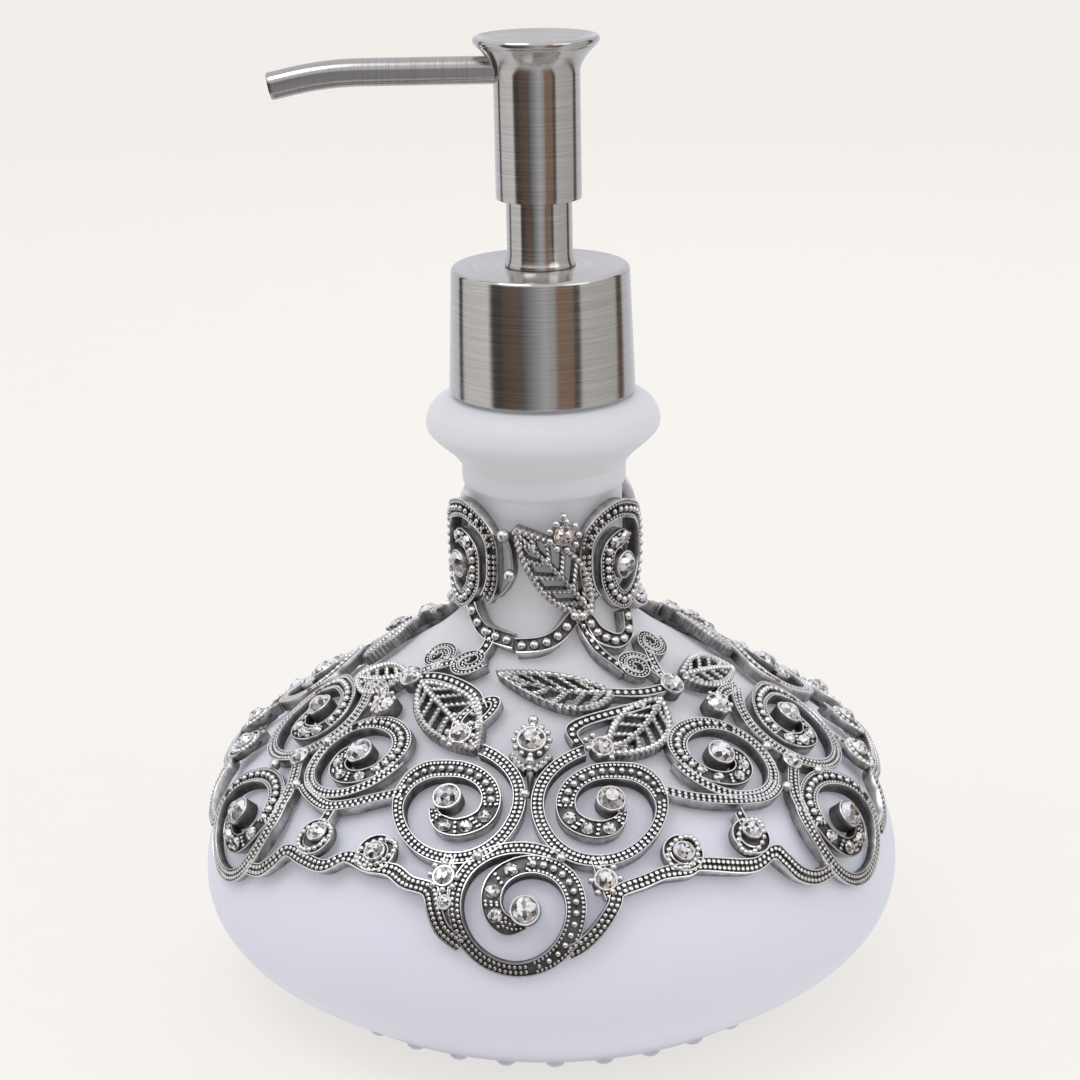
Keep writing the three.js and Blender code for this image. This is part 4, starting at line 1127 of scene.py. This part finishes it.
def press_head():
    """The hollow press head: a tube under a trumpet flare with a rounded rim and a dished top."""
    t = np.linspace(0, 1, 15)
    flare = np.stack([HEAD_R + (RIM_R - 0.5 - HEAD_R) * t**1.7, FLARE_Z + (HEAD_TOP - 1.75 - FLARE_Z) * t], 1)
    rim = arc(RIM_R - 0.78, HEAD_TOP - 0.8, 0.78, -62, 112, 14)
    dish = [[RIM_R - 2.2, HEAD_TOP - 0.5], [7, HEAD_TOP - 1.45], [4, HEAD_TOP - 2.1]]
    bore = HEAD_R - SHEET
    low = HEAD_LOW[2]
    profile = [[0, BORE_TOP_Z], [bore, BORE_TOP_Z], [bore, low + 0.3], [HEAD_R - 0.3, low],
               [HEAD_R - 0.08, low + 0.08], [HEAD_R, low + 0.35], *flare.tolist(), *rim, *dish,
               [0, HEAD_TOP - 2.4]]
    turned("steel_press_head", profile, 96, STEEL, "head", "brushed_steel", "head_shell")


def spout():
    """The spout: straight out of the head, then drooping over its last third."""
    droop, bend_from, bend_r, reach = 12.2, 32.0, 62.0, -cad_box("spout_tube")[0][0]
    bend = arc(-bend_from, SPOUT_Z - bend_r, bend_r, 90, 90 + droop, 23)
    tip_x = 0.65 - reach
    tip = [tip_x, bend[-1][1] + (tip_x - bend[-1][0]) * math.tan(math.radians(droop))]
    path = resampled([[-7.2, SPOUT_Z], *bend, tip], 0.8)
    normal = sides(path)
    outer, wall = 2.575, 0.42
    a = np.linspace(0, TAU, 40, endpoint=False)

    def ring(k, radius, push=0.0):
        centre = np.array([path[k, 0] + push * normal[k, 1], 0, path[k, 1] - push * normal[k, 0]])
        up = np.array([normal[k, 0], 0, normal[k, 1]])
        return centre + radius * (np.cos(a)[:, None] * Y + np.sin(a)[:, None] * up)

    end = len(path) - 1
    rings = [ring(k, outer) for k in range(end)] + [ring(end, outer, -0.25), ring(end, outer - 0.12)]
    rings += [ring(end, outer - wall), *[ring(k, outer - wall) for k in range(end - 1, end - 26, -1)]]
    swept("steel_spout", np.array(rings), SHADED_SPOUT_STEEL, "head", "brushed_steel", "spout_tube")


def spring():
    """The return spring, closed at both ends."""
    wire, coil, turns, per_turn, around = 0.45, 5.3, 6, 40, 12
    low, high = (corner[2] for corner in cad_box("main_spring"))
    t = np.linspace(0, 1, turns * per_turn + 1)
    rise = 0.65 * t + 0.35 * smoothstep(t, 0.06, 0.94)
    angle = TAU * turns * t
    out = np.stack([np.cos(angle), np.sin(angle), 0 * angle], -1)
    centre = coil * out + (low + wire + (high - low - 2 * wire) * rise)[:, None] * Z
    a = np.linspace(0, TAU, around, endpoint=False)[:, None]
    rings = centre[:, None] + wire * (np.cos(a) * out[:, None] + np.sin(a) * Z)
    piece = swept("coil_spring", rings, STEEL, "engine", "spring_steel", "main_spring")
    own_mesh(piece)


collar()
sleeve()
press_head()
spout()
spring()

# ---- Carried-over pump pieces ----
INNER_MATERIALS = {
    WHITE_PLASTIC: ["pump_cylinder", "spring_seat", "guide_nut", "dip_tube", "closure_liner", "piston_stem",
                    "actuator_core"],
    SEAL_PLASTIC: ["piston_seal"],
    RUBBER: ["neck_gasket"],
    STEEL: ["ball_valve"],
}
for material, names in INNER_MATERIALS.items():
    for name in names:
        mesh = frame["nodes"][name].data
        mesh.materials.clear()
        mesh.materials.append(material)


# ---- Floor, light and camera ----
BACKDROP = (0.905, 0.880, 0.838)
FLOOR_HALF = 6.0


def floor():
    mesh = bpy.data.meshes.new("floor")
    corners = [(-1, -1), (1, -1), (1, 1), (-1, 1)]
    mesh.from_pydata([(FLOOR_HALF * x, FLOOR_HALF * y, 0) for x, y in corners], [], [[0, 1, 2, 3]])
    plane = added("floor", mesh)
    m = Finish("floor")
    speck = m.noise(m.object_coords(), 60.0, 2.0)
    paper = tint(BACKDROP, 0.32)
    m.set(Base_Color=m.ramp(speck, [(0.3, tint(paper, 0.98)), (0.7, paper)]), Roughness=0.95,
          Emission_Color=(*BACKDROP, 1), Emission_Strength=0.7, Specular_IOR_Level=0.1)
    mesh.materials.append(m.material)
    plane.visible_glossy = False


# The studio around the object, as [azimuth in degrees, colour] from behind it round the front.
STUDIO = [
    (-180, (0.80, 0.80, 0.86)), (-128, (0.72, 0.72, 0.77)), (-125, (0.03, 0.03, 0.03)),
    (-119, (0.05, 0.045, 0.04)), (-116, (0.74, 0.73, 0.73)), (-70, (0.80, 0.79, 0.79)),
    (-67, (0.30, 0.19, 0.12)), (-64, (0.055, 0.05, 0.048)), (-52, (0.08, 0.07, 0.065)),
    (-49, (0.13, 0.085, 0.065)), (-29, (0.16, 0.11, 0.085)), (-26, (0.10, 0.10, 0.105)),
    (4, (0.52, 0.52, 0.54)), (17, (0.42, 0.41, 0.415)), (20, (0.30, 0.20, 0.145)),
    (40, (0.27, 0.185, 0.14)), (43, (0.075, 0.065, 0.075)), (49, (0.10, 0.09, 0.09)),
    (52, (0.62, 0.61, 0.60)), (108, (0.56, 0.545, 0.53)), (112, (0.14, 0.095, 0.06)),
    (122, (0.12, 0.08, 0.055)), (126, (0.66, 0.66, 0.70)), (180, (0.80, 0.80, 0.86)),
]


def world():
    """A soft room: pale above and behind, with dark and brown cards round the camera's side."""
    studio = bpy.data.worlds.new("studio")
    bpy.context.scene.world = studio
    studio.use_nodes = True
    studio.node_tree.nodes.clear()
    m = Nodes(studio.node_tree)
    x, y, height = m.xyz(m.node("TexCoord").outputs["Generated"])
    azimuth = m.math("ARCTAN2", x, m.math("MULTIPLY", y, -1.0))
    position = m.math("ADD", m.math("DIVIDE", azimuth, TAU), 0.5)
    cards = m.ramp(position, [((degrees + 180) / 360, colour) for degrees, colour in STUDIO])

    def blend(low, high, first, second):
        """The first colour below a height of low, the second above high."""
        factor = m.node("MapRange", interpolation_type="SMOOTHSTEP")
        mixed = m.node("Mix", data_type="RGBA")
        m.fill(factor, height, low, high)
        m.put(mixed.inputs[0], factor.outputs[0])
        m.put(mixed.inputs[6], first)
        m.put(mixed.inputs[7], second)
        return mixed.outputs[2]

    room = blend(0.3, 0.6, cards, (0.88, 0.88, 0.92, 1))
    room = blend(-0.95, -0.72, (0.80, 0.79, 0.78, 1), room)
    lit = m.fill(m.node("Background"), room)
    plain = m.fill(m.node("Background"), (*BACKDROP, 1))
    seen = m.node("LightPath").outputs["Is Camera Ray"]
    pick = m.fill(m.node("MixShader"), seen, lit.outputs[0], plain.outputs[0])
    m.fill(m.node("OutputWorld"), pick.outputs[0])


def softbox(name, place, target, size, power, glossy=True):
    light = bpy.data.lights.new(name, "AREA")
    light.shape, light.size, light.energy = "DISK", size, power
    lamp = added(name, light)
    lamp.visible_glossy = glossy
    lamp.location = place
    lamp.rotation_euler = (Vector(target) - Vector(place)).to_track_quat("-Z", "Y").to_euler()


def camera():
    """The lens, place and tilt of the view, 18 degrees from above."""
    data = bpy.data.cameras.new("camera")
    data.lens, data.sensor_width = 82.25, 36.0
    data.clip_start, data.clip_end = 0.01, 50.0
    view = added("camera", data)
    pitch, yaw, roll = 0.3155, -0.0023, -0.0195
    ahead = Vector((math.sin(yaw) * math.cos(pitch), math.cos(yaw) * math.cos(pitch), -math.sin(pitch)))
    right = ahead.cross(Vector((0, 0, 1))).normalized()
    up = right.cross(ahead)
    turned_right = math.cos(roll) * right + math.sin(roll) * up
    turned_up = -math.sin(roll) * right + math.cos(roll) * up
    turn = Matrix((turned_right, turned_up, -ahead)).transposed()
    view.matrix_world = Matrix.Translation((0.0, -0.4571, 0.2361)) @ turn.to_4x4()
    bpy.context.scene.camera = view


floor()
world()
softbox("key", (-0.35, -0.25, 0.9), (0, 0, 0.07), 0.5, 1.6)
softbox("fill", (0.55, -0.45, 0.55), (0, 0, 0.08), 0.5, 0.6)
softbox("back", (0.1, 0.7, 0.6), (0, 0, 0.08), 0.5, 0.8, glossy=False)
camera()
bpy.context.scene.view_settings.view_transform = "Standard"
